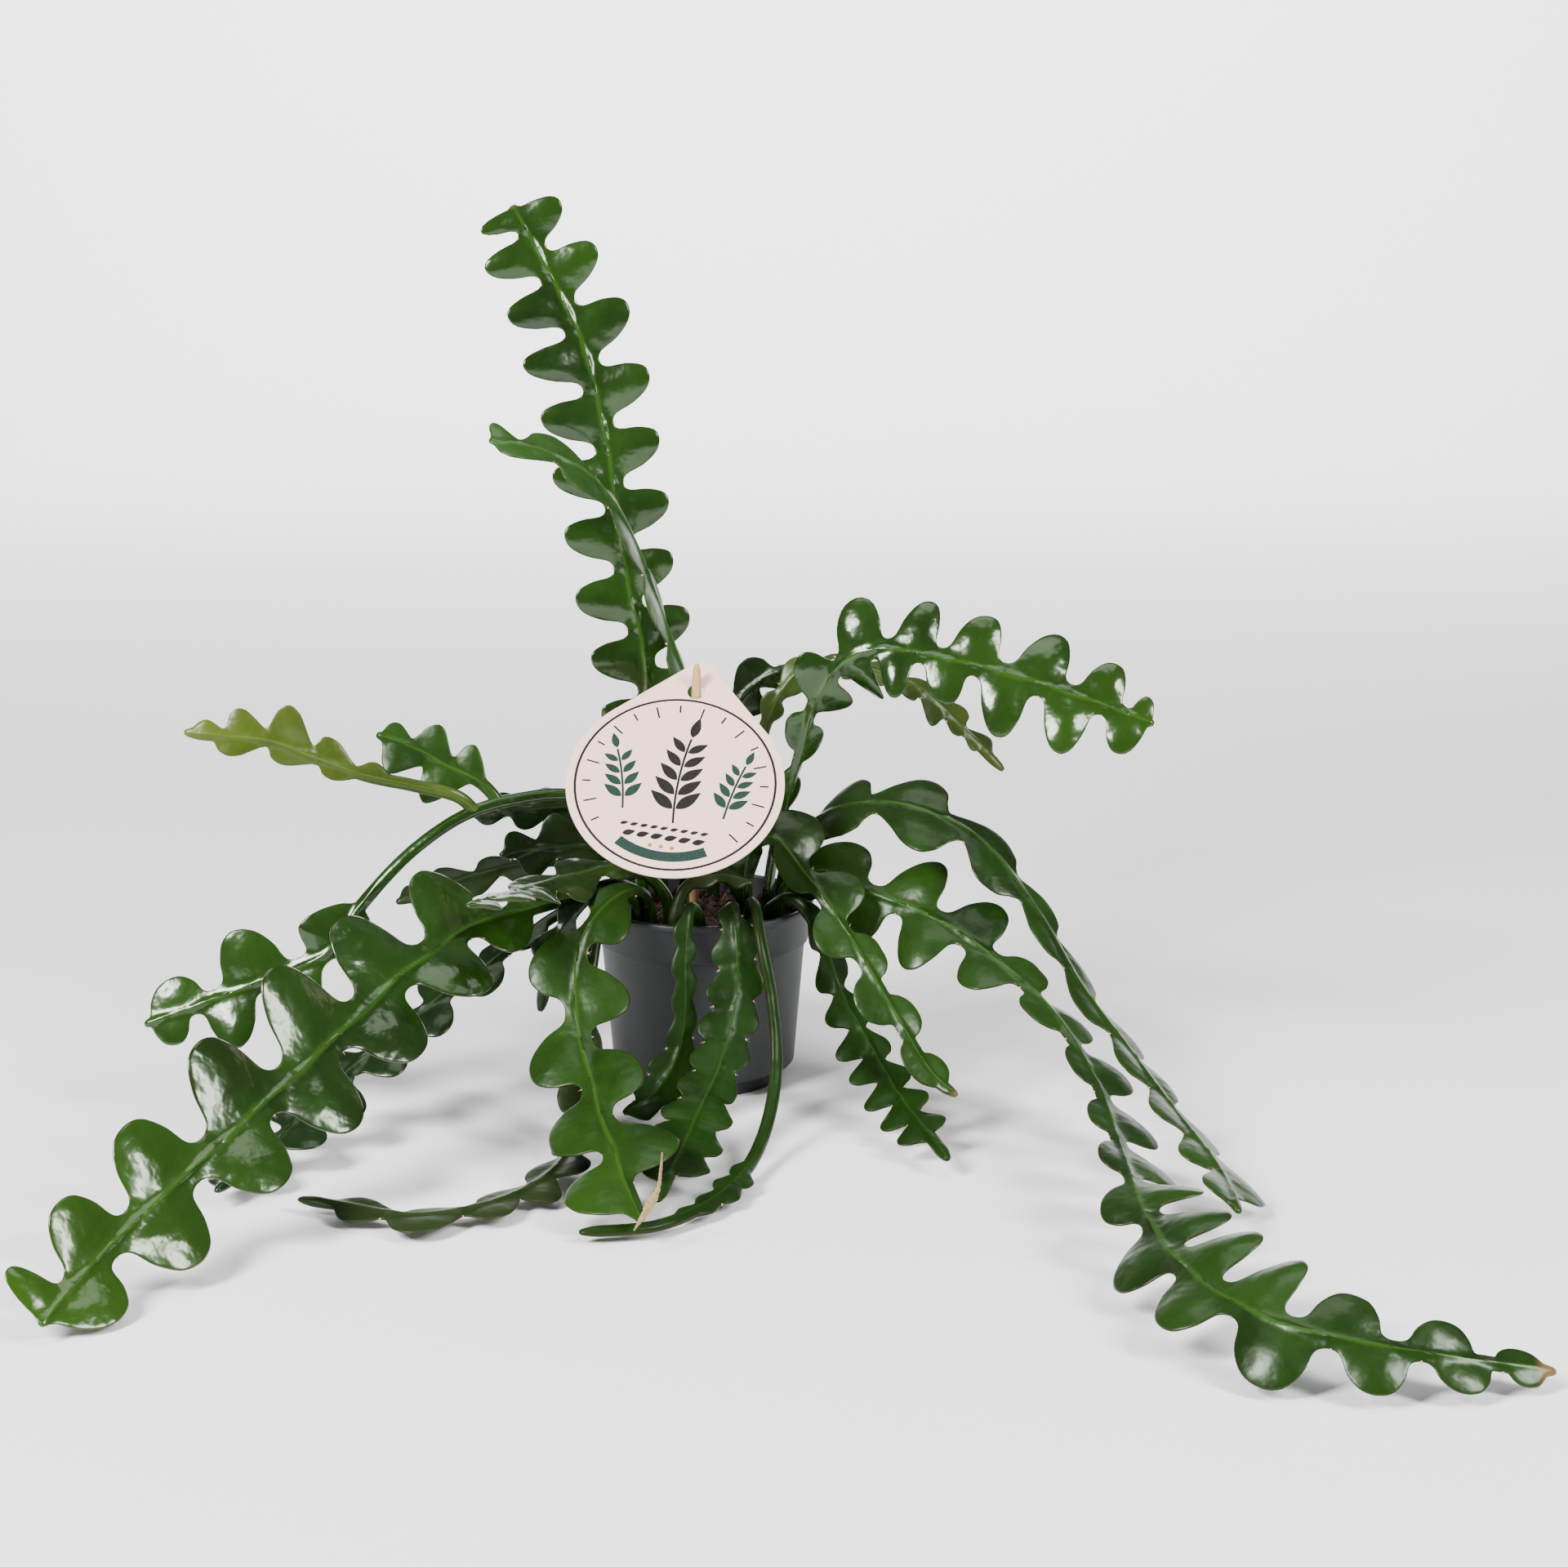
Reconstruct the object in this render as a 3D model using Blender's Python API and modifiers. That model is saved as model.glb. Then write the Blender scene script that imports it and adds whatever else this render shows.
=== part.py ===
"""Fishbone cactus in a nursery pot: pot, soil, label card on its stick, and one solid for each lobed stem.

Metres, +Z up. The origin is the middle of the pot's underside, and -Y is the side that the label faces.
"""

import math

import bmesh
import bpy
import numpy as np
from mathutils import Vector

CM = 0.01
GAP = 0.0003

# The pot, a 10.5 cm trade pot.
POT_RIM_RADIUS = 0.0525
POT_HEIGHT = 0.087
POT_WALL = 0.0012
COLLAR_DEPTH = 0.019
COLLAR_STEP = 0.0016
FOOT_RADIUS = 0.0372
FOOT_STEP_HEIGHT = 0.0085
WALL_FOOT_RADIUS = 0.0432
RIM_LIP = 0.0018
FLOOR_RISE = 0.0022
DRAIN_HOLES = 6
DRAIN_RING = 0.024
DRAIN_RADIUS = 0.0035
POT_STEPS = 28

# The soil.
SOIL_TOP = 0.077
SOIL_CROWN = 0.0015
STEM_HOLE_RADIUS = 0.0052
STEM_HOLE_FLOOR = 0.0649

# The label: a round card drawn out to a rounded point, leaning back on its upright stick.
CARD_RADIUS = 0.0498
CARD_POINT = 0.0683
CARD_POINT_ROUNDING = 0.005
CARD_THICKNESS = 0.0008
CARD_LEAN = math.radians(45)
CARD_TURN = math.radians(10)
CARD_HOLE_UP = 0.051
CARD_HOLE_RADIUS = 0.0041
CARD_HOLE_AT = Vector((-0.0021, -0.0184, 0.1906))
STICK_FOOT = Vector((-0.0043, -0.0165, 0.062))
STICK_TIP = Vector((-0.0018, -0.0181, 0.2040))
STICK_RADIUS = 0.0023
STICK_TAPER = 0.022

# The stems' sections.
RIB_THICKNESS = 0.0046
EDGE_THICKNESS = 0.0013
NECK_HALF_WIDTH = 0.0030
LONE_LOBE_HALF = 0.011
TIP_LENGTH = 0.009
ROWS_EACH_SIDE = 1
BARE_STEP = 0.012
CLOSEST_COLUMNS = 0.0035
LYING_HEIGHT = 0.0004

# Edge of one lobe, from sinus to sinus: (place along the pitch, reach from the rib), both as shares.
EDGES = {
    "thumb": ((0.00, 0.20), (0.13, 0.28), (0.20, 0.62), (0.33, 0.90),
              (0.50, 1.00), (0.68, 0.93), (0.81, 0.64), (0.88, 0.30)),
    "wave": ((0.00, 0.34), (0.18, 0.62), (0.36, 0.92), (0.56, 1.00), (0.76, 0.84), (0.88, 0.52)),
    "tooth": ((0.00, 0.66), (0.25, 0.82), (0.50, 1.00), (0.78, 0.92)),
}

# Each stem: its route from the foot in the soil to the tip, the way its broad face looks (spread
# evenly from foot to tip), and the lobes on its two sides as (place along the rib, reach from it).
# Centimetres, chosen by eye along the real plant.
STEMS = {
    "stem_tall": {
        "route": [(-2, 2.4, 6.55), (-2.1, 2.3, 10), (-2.4, 2, 14), (-2.7, 2, 19.4), (-3.7, 2.5, 24.4),
                  (-4.4, 3, 29.4), (-5.5, 3.5, 34.3), (-7.6, 4, 38.8), (-8.8, 4.2, 41)],
        "faces": [(0.1, -1, 0.1), (0.1, -1, 0.1), (0.15, -1, 0.1)],
        "left": [(7.6, 1.5), (10.4, 2.3), (13.3, 2.5), (16.4, 2.6), (19.2, 2.6), (22, 2.8),
                 (24.8, 2.8), (27.8, 3), (30.6, 2.7), (33.2, 2.6), (35.5, 1.9)],
        "right": [(6, 0.9), (8.8, 1.7), (11.7, 2.4), (14.6, 2.5), (17.4, 2.3), (20.3, 2.5),
                  (23.1, 2.5), (26, 2.6), (28.9, 2.7), (31.8, 2.5), (34.6, 2)],
        "edge": "thumb", "lean": 0.16, "cup": 0.1, "skin": "mid",
    },
    "stem_tall_thin": {
        "route": [(-0.6, 0.8, 6.55), (-0.5, 0.7, 12), (-0.6, 0.4, 18.1), (-1.7, 0.2, 21.7),
                  (-3.5, -0.8, 26.7), (-5.1, -1.2, 29), (-7.4, -2, 30.3), (-9.5, -2.6, 30.8)],
        "faces": [(0.9, -0.3, 0.1), (0.9, -0.25, 0.3), (0.8, -0.3, 0.5), (0.4, -0.35, 0.8)],
        "left": [(9.2, 0.9), (12.8, 1.4), (16.4, 1.7), (20, 1.6), (23.6, 1.5), (27.2, 1.3)],
        "right": [(10.1, 1.1), (13.9, 0.6), (16.3, 0.6), (21.3, 0.6), (25, 1.4), (29.4, 1.3)],
        "edge": "wave", "lean": 0.35, "cup": 0.1, "skin": "young",
    },
    "stem_right_arch": {
        "route": [(2.9, -0.4, 6.55), (3.2, -0.3, 10), (3.9, 0, 13.4), (4.5, -0.3, 15.5),
                  (5.5, -0.8, 18.9), (7.5, -1.5, 20.9), (11.8, -2.5, 20.6), (16.3, -3.5, 19.5),
                  (20.7, -4.5, 18.1)],
        "faces": [(0.8, -0.6, 0), (0.6, -0.8, 0.1), (0.1, -0.9, 0.4), (0, -0.85, 0.5),
                  (0.1, -0.85, 0.5)],
        "left": [(7.8, 0.7), (10.6, 1), (13.2, 1.7), (15.7, 2.6), (17.9, 2.7), (20.6, 2.5),
                 (23.9, 2.8), (27.1, 2.1), (29.4, 1)],
        "right": [(7.4, 0.7), (10, 1), (12.7, 1.6), (15.1, 2.4), (17.3, 2.3), (19.6, 2), (22.5, 2.9),
                  (25.8, 2.9), (28.6, 1.8)],
        "edge": "thumb", "lean": 0.12, "cup": -0.12, "skin": "mid",
    },
    "stem_right_slender": {
        "route": [(2, 1.7, 6.55), (2.2, 1.9, 12), (3.1, 2.3, 17), (4.8, 2.6, 19.3), (7.1, 2.8, 19.3),
                  (10.1, 2.5, 18.4), (12.6, 2, 16.2), (14.3, 1.5, 14.6)],
        "faces": [(0.3, -0.9, 0.2), (0.2, -0.8, 0.5), (0.3, -0.5, 0.8), (0.5, -0.5, 0.7)],
        "left": [(11.1, 0.7), (13.1, 0.8), (15.1, 0.8), (17.1, 0.9), (19.1, 0.9), (21.1, 1.1),
                 (23.1, 1)],
        "right": [(10.9, 0.6), (12.4, 0.8), (13.9, 0.8), (15.4, 0.8), (16.9, 0.9), (18.6, 1.1),
                  (20.3, 1.4), (21.8, 0.7), (22.9, 0.6)],
        "edge": "wave", "lean": 0.35, "cup": 0.1, "skin": "olive",
    },
    "stem_back_short": {
        "route": [(0.4, 3.9, 6.55), (0.5, 4, 12), (1.2, 4, 16.6), (2.4, 4, 18.3), (4.4, 4, 19.2)],
        "faces": [(0.3, -1, 0.1), (0, -1, 0.2)],
        "left": [(5.2, 0.8), (7.6, 1.3), (10, 1.4), (12.4, 1.2)],
        "right": [(6.4, 0.9), (8.8, 1.5), (11.2, 1.3), (13.6, 0.7)],
        "edge": "wave", "lean": 0.2, "cup": 0.1, "skin": "dark",
    },
    "stem_right_far": {
        "route": [(3.7, 1, 6.55), (3.9, 1.2, 9.8), (5.4, 0.7, 12.3), (7.5, -0.1, 13.3),
                  (10, -1.4, 13.4), (12.9, -3.1, 12.3), (15.4, -5.4, 9.5), (17.3, -8, 6.6),
                  (19, -10.3, 4.7), (20.7, -14, 3), (22.2, -18.4, 1.8), (22.6, -22.6, 1.3)],
        "faces": [(0.2, -0.6, 0.5), (0, -0.5, 0.85), (0.3, -0.45, 0.8), (0.75, -0.35, 0.55),
                  (0.6, -0.5, 0.6), (0.4, -0.4, 0.8)],
        "left": [(7.8, 2), (10.4, 2.1), (15.9, 1.2), (19.5, 1), (22.8, 1.2), (26.6, 1.9), (30, 1.1),
                 (33.4, 1.3), (37.4, 2.1)],
        "right": [(7, 1.9), (12.4, 2.6), (16.8, 1.6), (20.8, 1.2), (24.7, 1.3), (28.6, 1.5),
                  (32.4, 1.6), (35.6, 1.6), (38.9, 1.4)],
        "edge": "wave", "lean": 0.25, "cup": -0.1, "skin": "mid",
    },
    "stem_right_long": {
        "route": [(3.8, -1.2, 6.55), (3.9, -1.25, 9.4), (5.4, -1.8, 10.5), (8, -2.6, 9.6),
                  (10.9, -4.6, 8.9), (13.8, -7.5, 7.5), (15.9, -10.8, 6.1), (17.4, -15, 4.3),
                  (17.9, -20.4, 3.2), (18.4, -27, 2.6), (19.6, -32.8, 2.4), (22, -37, 2.3),
                  (26.6, -38.4, 1.8), (32.2, -37.7, 0.7)],
        "faces": [(0.1, -0.8, 0.6), (0.1, -0.9, 0.5), (0.5, -0.6, 0.6), (0.4, -0.5, 0.75),
                  (-0.35, -0.5, 0.8), (-0.05, -0.7, 0.7), (0, -0.6, 0.8)],
        "left": [(5.7, 1.8), (9.5, 2.7), (12.9, 2.4), (16.6, 1.3), (20.3, 1.6), (23.8, 1.9),
                 (27.4, 2.3), (31.1, 2.4), (34.6, 2.6), (38.3, 2.9), (41.9, 3.1), (45.9, 3),
                 (50.3, 1.9), (53.9, 1.4), (57.3, 0.7)],
        "right": [(3.7, 1.3), (7.2, 2.4), (11.3, 2.9), (15.3, 2.2), (19.4, 1.3), (23.4, 1), (27.3, 1),
                  (31, 1.2), (34.8, 1.6), (39.5, 2.6), (43.8, 2.5), (48, 2.5), (51.5, 1.9),
                  (54.7, 1.4), (57.6, 0.7)],
        "edge": "thumb", "lean": 0.15, "cup": -0.08, "skin": "mid",
    },
    "stem_right_front": {
        "route": [(2, -1.5, 6.55), (1.9, -1.7, 9.4), (2.3, -1.9, 11.6), (3.3, -2.5, 12.2),
                  (4.9, -3.6, 10.7), (6.8, -5.6, 8.4), (8.7, -7.7, 5.6), (10.6, -9.6, 2.9),
                  (11.6, -10.4, 2.3)],
        "faces": [(0.3, -0.9, 0.3), (0.1, -0.8, 0.6), (0.2, -0.75, 0.6), (0.3, -0.7, 0.6)],
        "left": [(3.5, 0.8), (6.9, 2.3), (10.5, 2), (13.7, 1.1), (17.3, 1.1), (20.1, 0.9)],
        "right": [(4.3, 0.6), (8.3, 1), (12.2, 1.6), (15.9, 1.4), (19.6, 0.9)],
        "edge": "thumb", "lean": 0.1, "cup": -0.1, "skin": "mid",
    },
    "stem_right_hanging": {
        "route": [(3.1, -2.4, 6.55), (3.2, -2.8, 8.9), (4.2, -3.8, 9.7), (5.2, -3.8, 8.6),
                  (5.8, -3.6, 7), (6.5, -4, 5.2), (7.6, -5.8, 3.6), (9, -9, 2), (11, -15, 0.9)],
        "faces": [(0.2, -0.5, 0.8), (0.5, -0.7, 0.4), (0.1, -0.95, 0.3), (0, -0.85, 0.5)],
        "left": [(5.3, 0.7), (7.9, 1), (10.4, 0.9), (12.6, 0.9), (14.7, 1), (16.8, 1.1), (18.9, 1.1)],
        "right": [(6.2, 0.7), (8.3, 1.2), (10.4, 1.5), (12.2, 1.7), (13.9, 1.7), (15.6, 1.7),
                  (17.4, 1.6), (19.4, 1.4)],
        "edge": "wave", "lean": 0.2, "cup": 0.05, "skin": "dark",
    },
    "stem_front_middle": {
        "route": [(1.1, -3.8, 6.55), (1.2, -4.2, 9), (1.5, -5.4, 9.7), (1.7, -6.5, 8.5),
                  (1.7, -7.5, 6.2), (1.1, -9.5, 3.9), (0, -13, 2.2), (-1.5, -20.2, 0.9)],
        "faces": [(0, -0.5, 0.8), (0, -0.95, 0.3), (0, -0.9, 0.5), (0, -0.5, 0.85)],
        "left": [(5.5, 1.1), (7.4, 1.2), (9.2, 1.2), (10.9, 1.2), (12.8, 1.2), (14.9, 1.6), (17, 1.7),
                 (19.3, 1.6)],
        "right": [(4.1, 0.7), (6, 1.2), (7.9, 1.4), (9.7, 1.5), (11.6, 1.4), (13.4, 1.4), (15.2, 1.6),
                  (17, 1.5), (18.8, 1.5), (20.4, 1.2)],
        "edge": "tooth", "lean": 0.2, "cup": 0.05, "skin": "mid",
    },
    "stem_front_narrow": {
        "route": [(-0.1, -3.9, 6.55), (-0.1, -4.4, 9), (-0.5, -5.4, 9.6), (-0.7, -6.5, 7.6),
                  (-0.7, -7.2, 5.2), (-1, -7.8, 3.4), (-2.1, -8.8, 1.8), (-3.4, -9.6, 1.2)],
        "faces": [(0, -0.5, 0.8), (0.3, -0.9, 0.3), (0.2, -0.9, 0.4), (0, -0.7, 0.7)],
        "left": [(5.6, 0.6), (7.2, 0.6), (8.8, 0.6), (10.4, 0.8), (12, 1.3), (13.6, 0.9)],
        "right": [(4.8, 0.6), (6.4, 0.6), (8, 0.6), (9.6, 0.7), (11.2, 1), (12.8, 1.2)],
        "edge": "tooth", "lean": 0.2, "cup": 0, "skin": "dark",
    },
    "stem_front_left": {
        "route": [(-2.4, -3.1, 6.55), (-2.4, -3.4, 9.2), (-2.8, -4.4, 10.2), (-3.9, -5.5, 10.1),
                  (-5.2, -7.1, 8.9), (-5.6, -8.8, 6.7), (-5, -11.2, 4.5), (-4.1, -15, 3),
                  (-3, -19.6, 2), (-2, -23.4, 1.2)],
        "faces": [(0, -0.4, 0.9), (-0.1, -0.7, 0.7), (0, -0.95, 0.35), (0, -0.85, 0.5), (0, -0.7, 0.7)],
        "left": [(6.8, 1.7), (11.1, 2.5), (15.9, 2.3), (21.6, 2.8)],
        "right": [(5.3, 0.9), (9.8, 2.1), (13.9, 2.6), (18.9, 2.5), (24.4, 2.7)],
        "edge": "thumb", "lean": 0.1, "cup": -0.08, "skin": "light",
    },
    "stem_front_thin": {
        "route": [(2.2, -3.1, 6.55), (2.2, -3.4, 8.9), (2.5, -5.2, 9.8), (2.8, -7.2, 8.6),
                  (3.3, -8.2, 6.2), (3.5, -9.8, 3.4), (2.9, -13, 1.2), (1.2, -18.6, 0.6),
                  (-1.4, -22, 0.5), (-4.6, -22.8, 0.5)],
        "faces": [(0.3, -0.4, 0.8), (0.8, -0.5, 0.3), (0.5, -0.5, 0.7), (0, -0.3, 1), (0, -0.2, 1)],
        "left": [(20.7, 0.7), (22.5, 0.8), (24.3, 0.6)],
        "right": [(19.8, 0.6), (21.6, 0.8), (23.4, 0.7), (25.2, 0.6)],
        "edge": "tooth", "lean": 0.2, "cup": 0, "skin": "mid",
    },
    "stem_left_ground": {
        "route": [(-3.2, -2.3, 6.55), (-3.4, -2.7, 8.9), (-4.4, -4.2, 9.4), (-5, -6, 7),
                  (-5.2, -8, 3.6), (-5.4, -10.6, 1.2), (-6, -15.4, 0.7), (-8.2, -19.4, 0.6),
                  (-11.4, -21.2, 0.6), (-14.4, -20.1, 0.6), (-16.7, -19.1, 0.6)],
        "faces": [(0, -0.4, 0.9), (0, -0.9, 0.3), (-0.1, -0.3, 1), (0, -0.1, 1), (0, -0.15, 1)],
        "left": [(8.3, 0.6), (11.1, 0.8), (14, 1.2), (16.8, 1.3), (19.6, 1.5), (22.5, 1.6),
                 (24.9, 1.4), (28.1, 1.7), (31, 1)],
        "right": [(9.6, 0.7), (13.3, 1.1), (16.9, 0.9), (20.7, 0.9), (24.2, 0.8), (27.5, 0.8),
                  (31.1, 0.8)],
        "edge": "wave", "lean": 0.25, "cup": 0, "skin": "dull",
    },
    "stem_left_big": {
        "route": [(-3.7, -1.2, 6.55), (-4, -1.5, 9), (-5.6, -3, 9.5), (-7.9, -4.8, 9.4),
                  (-10, -7.2, 9.4), (-12.6, -11.8, 8.6), (-15.7, -17.5, 6.7), (-18.6, -22.5, 4.9),
                  (-21, -26.5, 3.4), (-22.9, -29.8, 2.1), (-24.4, -33.5, 0.8)],
        "faces": [(0, -0.7, 0.7), (0.2, -0.7, 0.7), (0.4, -0.75, 0.6), (0.4, -0.8, 0.5),
                  (0.3, -0.85, 0.5)],
        "left": [(9.5, 1.9), (14.5, 3.1), (19.8, 3.1), (24.9, 3.4), (29.6, 3), (34.8, 3), (40, 2.2)],
        "right": [(6.7, 1.2), (11.9, 3.3), (17.1, 3.7), (22.7, 4), (28.1, 3.7), (33.3, 3.1),
                  (38.1, 2.6), (41.9, 2.3)],
        "edge": "thumb", "lean": 0, "cup": 0.12, "skin": "mid",
    },
    "stem_left_arch": {
        "route": [(-2.8, -0.3, 6.55), (-3, -0.4, 10.5), (-3.9, -0.9, 13.3), (-6.3, -1.5, 14.1),
                  (-8.1, -2, 14.1), (-10.7, -3, 13.6), (-13.2, -4, 12.1), (-15.5, -5, 9.8),
                  (-17.2, -5.8, 7.6), (-20.8, -6, 6.1), (-25.5, -6.4, 4.4)],
        "faces": [(0.5, -0.8, 0.2), (0, -0.8, 0.5), (-0.2, -0.7, 0.6), (0.3, -0.8, 0.5),
                  (0, -0.9, 0.4)],
        "left": [(22.2, 1.5), (25.4, 2.5), (28.6, 2.6), (32, 1.2)],
        "right": [(22.7, 1.8), (27.2, 2.6), (31, 1.6)],
        "edge": "thumb", "lean": 0.1, "cup": 0.1, "skin": "mid",
    },
    "shoot_young": {
        "route": [(-10.4, -2.9, 13.6), (-11.2, -3.2, 14.4), (-13.2, -3.5, 15), (-15.3, -3.7, 15.5),
                  (-17.4, -3.9, 16.3), (-19.4, -4.2, 17.2), (-21.4, -4.4, 17.5), (-23.5, -4.4, 17.7)],
        "faces": [(0, -0.9, 0.3), (0, -0.95, 0.3), (0, -0.95, 0.3)],
        "left": [(6.7, 0.7), (9, 0.9), (11.7, 0.9)],
        "right": [(5.1, 0.7), (7.1, 1.1), (9.4, 1.8), (11.4, 1.3), (13.3, 0.6)],
        "edge": "wave", "lean": 0.3, "cup": 0.1, "skin": "yellow",
    },
    "shoot_dark": {
        "route": [(-9.2, -2.4, 13.7), (-10.2, -2.2, 14.8), (-12, -1.9, 15.7), (-13.6, -1.7, 16.5),
                  (-15.1, -1.6, 17)],
        "faces": [(0.1, -0.9, 0.3), (0.3, -0.9, 0.3)],
        "left": [(3.1, 2.1), (5.5, 1.6)],
        "right": [(2.3, 1.4), (4.2, 1.5), (6.5, 0.7)],
        "edge": "wave", "lean": 0.15, "cup": 0.15, "skin": "dark",
    },
    "stem_left_dark": {
        "route": [(-3.4, 0.9, 6.55), (-3.4, 0.9, 9.2), (-4.5, 0.5, 10.8), (-7.3, 0.1, 11.2),
                  (-9.6, -0.4, 10.9)],
        "faces": [(0.2, -0.9, 0.3), (0, -0.95, 0.3)],
        "left": [(3.6, 1), (5.9, 1.6), (8.2, 1.4)],
        "right": [(2.4, 0.6), (4.7, 1.6), (7, 1.6), (9.3, 0.9)],
        "edge": "wave", "lean": 0.2, "cup": 0.1, "skin": "dark",
    },
    "stem_left_small": {
        "route": [(-1, 3.3, 6.55), (-1.2, 3.4, 10), (-4, 3.4, 12.2), (-7.5, 3, 12.4),
                  (-11.4, 2.7, 12.2)],
        "faces": [(0.2, -0.9, 0.3), (0, -0.95, 0.3)],
        "left": [(7.2, 0.8), (9.4, 1.1), (11.6, 1), (13.8, 0.6)],
        "right": [(8.3, 1.1), (10.5, 1), (12.7, 0.9)],
        "edge": "wave", "lean": 0.3, "cup": 0.1, "skin": "dark",
    },
    "stem_left_glossy": {
        "route": [(-1.5, -2.2, 6.55), (-1.7, -2.3, 9.4), (-3.3, -3.2, 11), (-5.6, -4.6, 11),
                  (-7.3, -6.2, 10.9), (-8.6, -9, 11.2), (-10, -12, 11.5)],
        "faces": [(0, -0.6, 0.8), (-0.2, -0.6, 0.8), (-0.3, -0.5, 0.8)],
        "left": [(5.6, 0.8), (8.4, 1.7), (11.2, 1.8), (14, 1.8), (16.3, 1.2)],
        "right": [(4.9, 0.7), (7.7, 1.7), (10.5, 1.1), (14.1, 1.1)],
        "edge": "wave", "lean": 0.1, "cup": -0.2, "skin": "mid",
    },
    "stem_left_back": {
        "route": [(-3.2, 2.1, 6.55), (-3.4, 2.3, 9), (-5.5, 2.2, 10), (-8.5, 1.7, 9.9),
                  (-10.8, 1.1, 9.5), (-14.6, 0, 8.5)],
        "faces": [(0, -0.6, 0.8), (0, -0.6, 0.8)],
        "left": [(5.7, 0.6), (8.1, 1), (10.5, 1.1), (12.9, 0.9)],
        "right": [(6.9, 0.7), (9.3, 1), (11.7, 1.2), (14.1, 0.6)],
        "edge": "wave", "lean": 0.2, "cup": 0, "skin": "dull",
    },
    "stem_across": {
        "route": [(-1.2, -3.9, 6.55), (-1.2, -3.8, 8.9), (-0.6, -3.4, 10.2), (0.8, -3, 10.5),
                  (2.4, -3.2, 10.3)],
        "faces": [(0, -0.5, 0.8), (0, -0.5, 0.8)],
        "left": [(5.6, 0.7)],
        "right": [(4.6, 0.6), (6.6, 0.6)],
        "edge": "wave", "lean": 0.2, "cup": 0, "skin": "dull",
    },
    "stem_left_under": {
        "route": [(-3.95, -0.1, 6.55), (-4.1, -0.3, 8.9), (-6.4, -1.8, 8.6), (-10, -4.6, 6.6),
                  (-13.5, -7.2, 4.6), (-16.2, -10.2, 2.8), (-18.4, -14.4, 1.4), (-20.2, -19, 0.9)],
        "faces": [(0, -0.4, 0.9), (0, -0.4, 0.9), (0, -0.3, 1)],
        "left": [(7.4, 0.8), (10.6, 1.4), (13.8, 1.9), (17, 2.1), (20.2, 2.1), (23.4, 2), (26.6, 1.6)],
        "right": [(9, 0.9), (12.2, 1.8), (15.4, 2), (18.6, 2.1), (21.8, 2.1), (25, 1.9), (28.2, 1)],
        "edge": "thumb", "lean": 0.1, "cup": 0, "skin": "dark",
    },
    "stem_left_stub": {
        "route": [(-2.6, -1.3, 6.55), (-2.8, -1.7, 9.2), (-4.6, -4, 10.3), (-6.6, -5.2, 8.2),
                  (-7.4, -5.6, 4.8)],
        "faces": [(0, -0.6, 0.7), (0.3, -0.9, 0.2)],
        "left": [(8.7, 0.9), (10.7, 0.8)],
        "right": [(7.7, 0.7), (9.7, 1)],
        "edge": "wave", "lean": 0.2, "cup": 0, "skin": "dark",
    },
}

SHOOTS = ("shoot_young", "shoot_dark")
SHOOTS_PARENT = "stem_left_arch"

# Skin colours, sRGB, and roughness.
SKINS = {
    "mid": ((0.18, 0.42, 0.12), 0.32),
    "light": ((0.28, 0.50, 0.17), 0.38),
    "young": ((0.25, 0.48, 0.16), 0.38),
    "yellow": ((0.52, 0.64, 0.26), 0.42),
    "olive": ((0.38, 0.48, 0.22), 0.42),
    "dark": ((0.12, 0.28, 0.09), 0.30),
    "dull": ((0.27, 0.38, 0.22), 0.50),
}


def clear_scene():
    for obj in list(bpy.data.objects):
        bpy.data.objects.remove(obj, do_unlink=True)


def srgb_to_linear(value):
    return value / 12.92 if value <= 0.04045 else ((value + 0.055) / 1.055) ** 2.4


def make_material(name, color, roughness):
    material = bpy.data.materials.new(name)
    material.use_nodes = True
    shader = material.node_tree.nodes["Principled BSDF"]
    shader.inputs["Base Color"].default_value = [srgb_to_linear(c) for c in color] + [1]
    shader.inputs["Roughness"].default_value = roughness
    shader.inputs["Metallic"].default_value = 0
    return material


def add_object(name, mesh, collection, material=None):
    obj = bpy.data.objects.new(name, mesh)
    collection.objects.link(obj)
    if material:
        mesh.materials.append(material)
    return obj


def as_cutter(obj):
    obj.hide_render = True
    obj.display_type = "WIRE"
    return obj


def turned(name, profile, collection, material):
    """A closed profile of (radius, height) points turned about Z."""
    mesh = bpy.data.meshes.new(name)
    edges = [(i, i + 1) for i in range(len(profile) - 1)]
    mesh.from_pydata([(r, 0, z) for r, z in profile], edges, [])
    obj = add_object(name, mesh, collection, material)
    screw = obj.modifiers.new("turn", "SCREW")
    screw.steps = screw.render_steps = POT_STEPS
    screw.use_merge_vertices = True
    screw.merge_threshold = 0.00005
    return obj


def apply_modifiers(obj):
    graph = bpy.context.evaluated_depsgraph_get()
    mesh = bpy.data.meshes.new_from_object(obj.evaluated_get(graph))
    old = obj.data
    obj.modifiers.clear()
    obj.data = mesh
    bpy.data.meshes.remove(old)


def cut(obj, cutter, name):
    modifier = obj.modifiers.new(name, "BOOLEAN")
    modifier.operation = "DIFFERENCE"
    modifier.solver = "EXACT"
    modifier.object = cutter


def joined_cutters(name, pieces, collection):
    """One cutter of several closed primitives that stay apart from each other."""
    bm = bmesh.new()
    for radius, low, high, sides in pieces:
        turn = (high - low).to_track_quat("Z", "Y").to_matrix().to_4x4()
        turn.translation = (low + high) / 2
        bmesh.ops.create_cone(
            bm, cap_ends=True, segments=sides, radius1=radius, radius2=radius,
            depth=(high - low).length, matrix=turn,
        )
    mesh = bpy.data.meshes.new(name)
    bm.to_mesh(mesh)
    bm.free()
    return as_cutter(add_object(name, mesh, collection))


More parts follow.
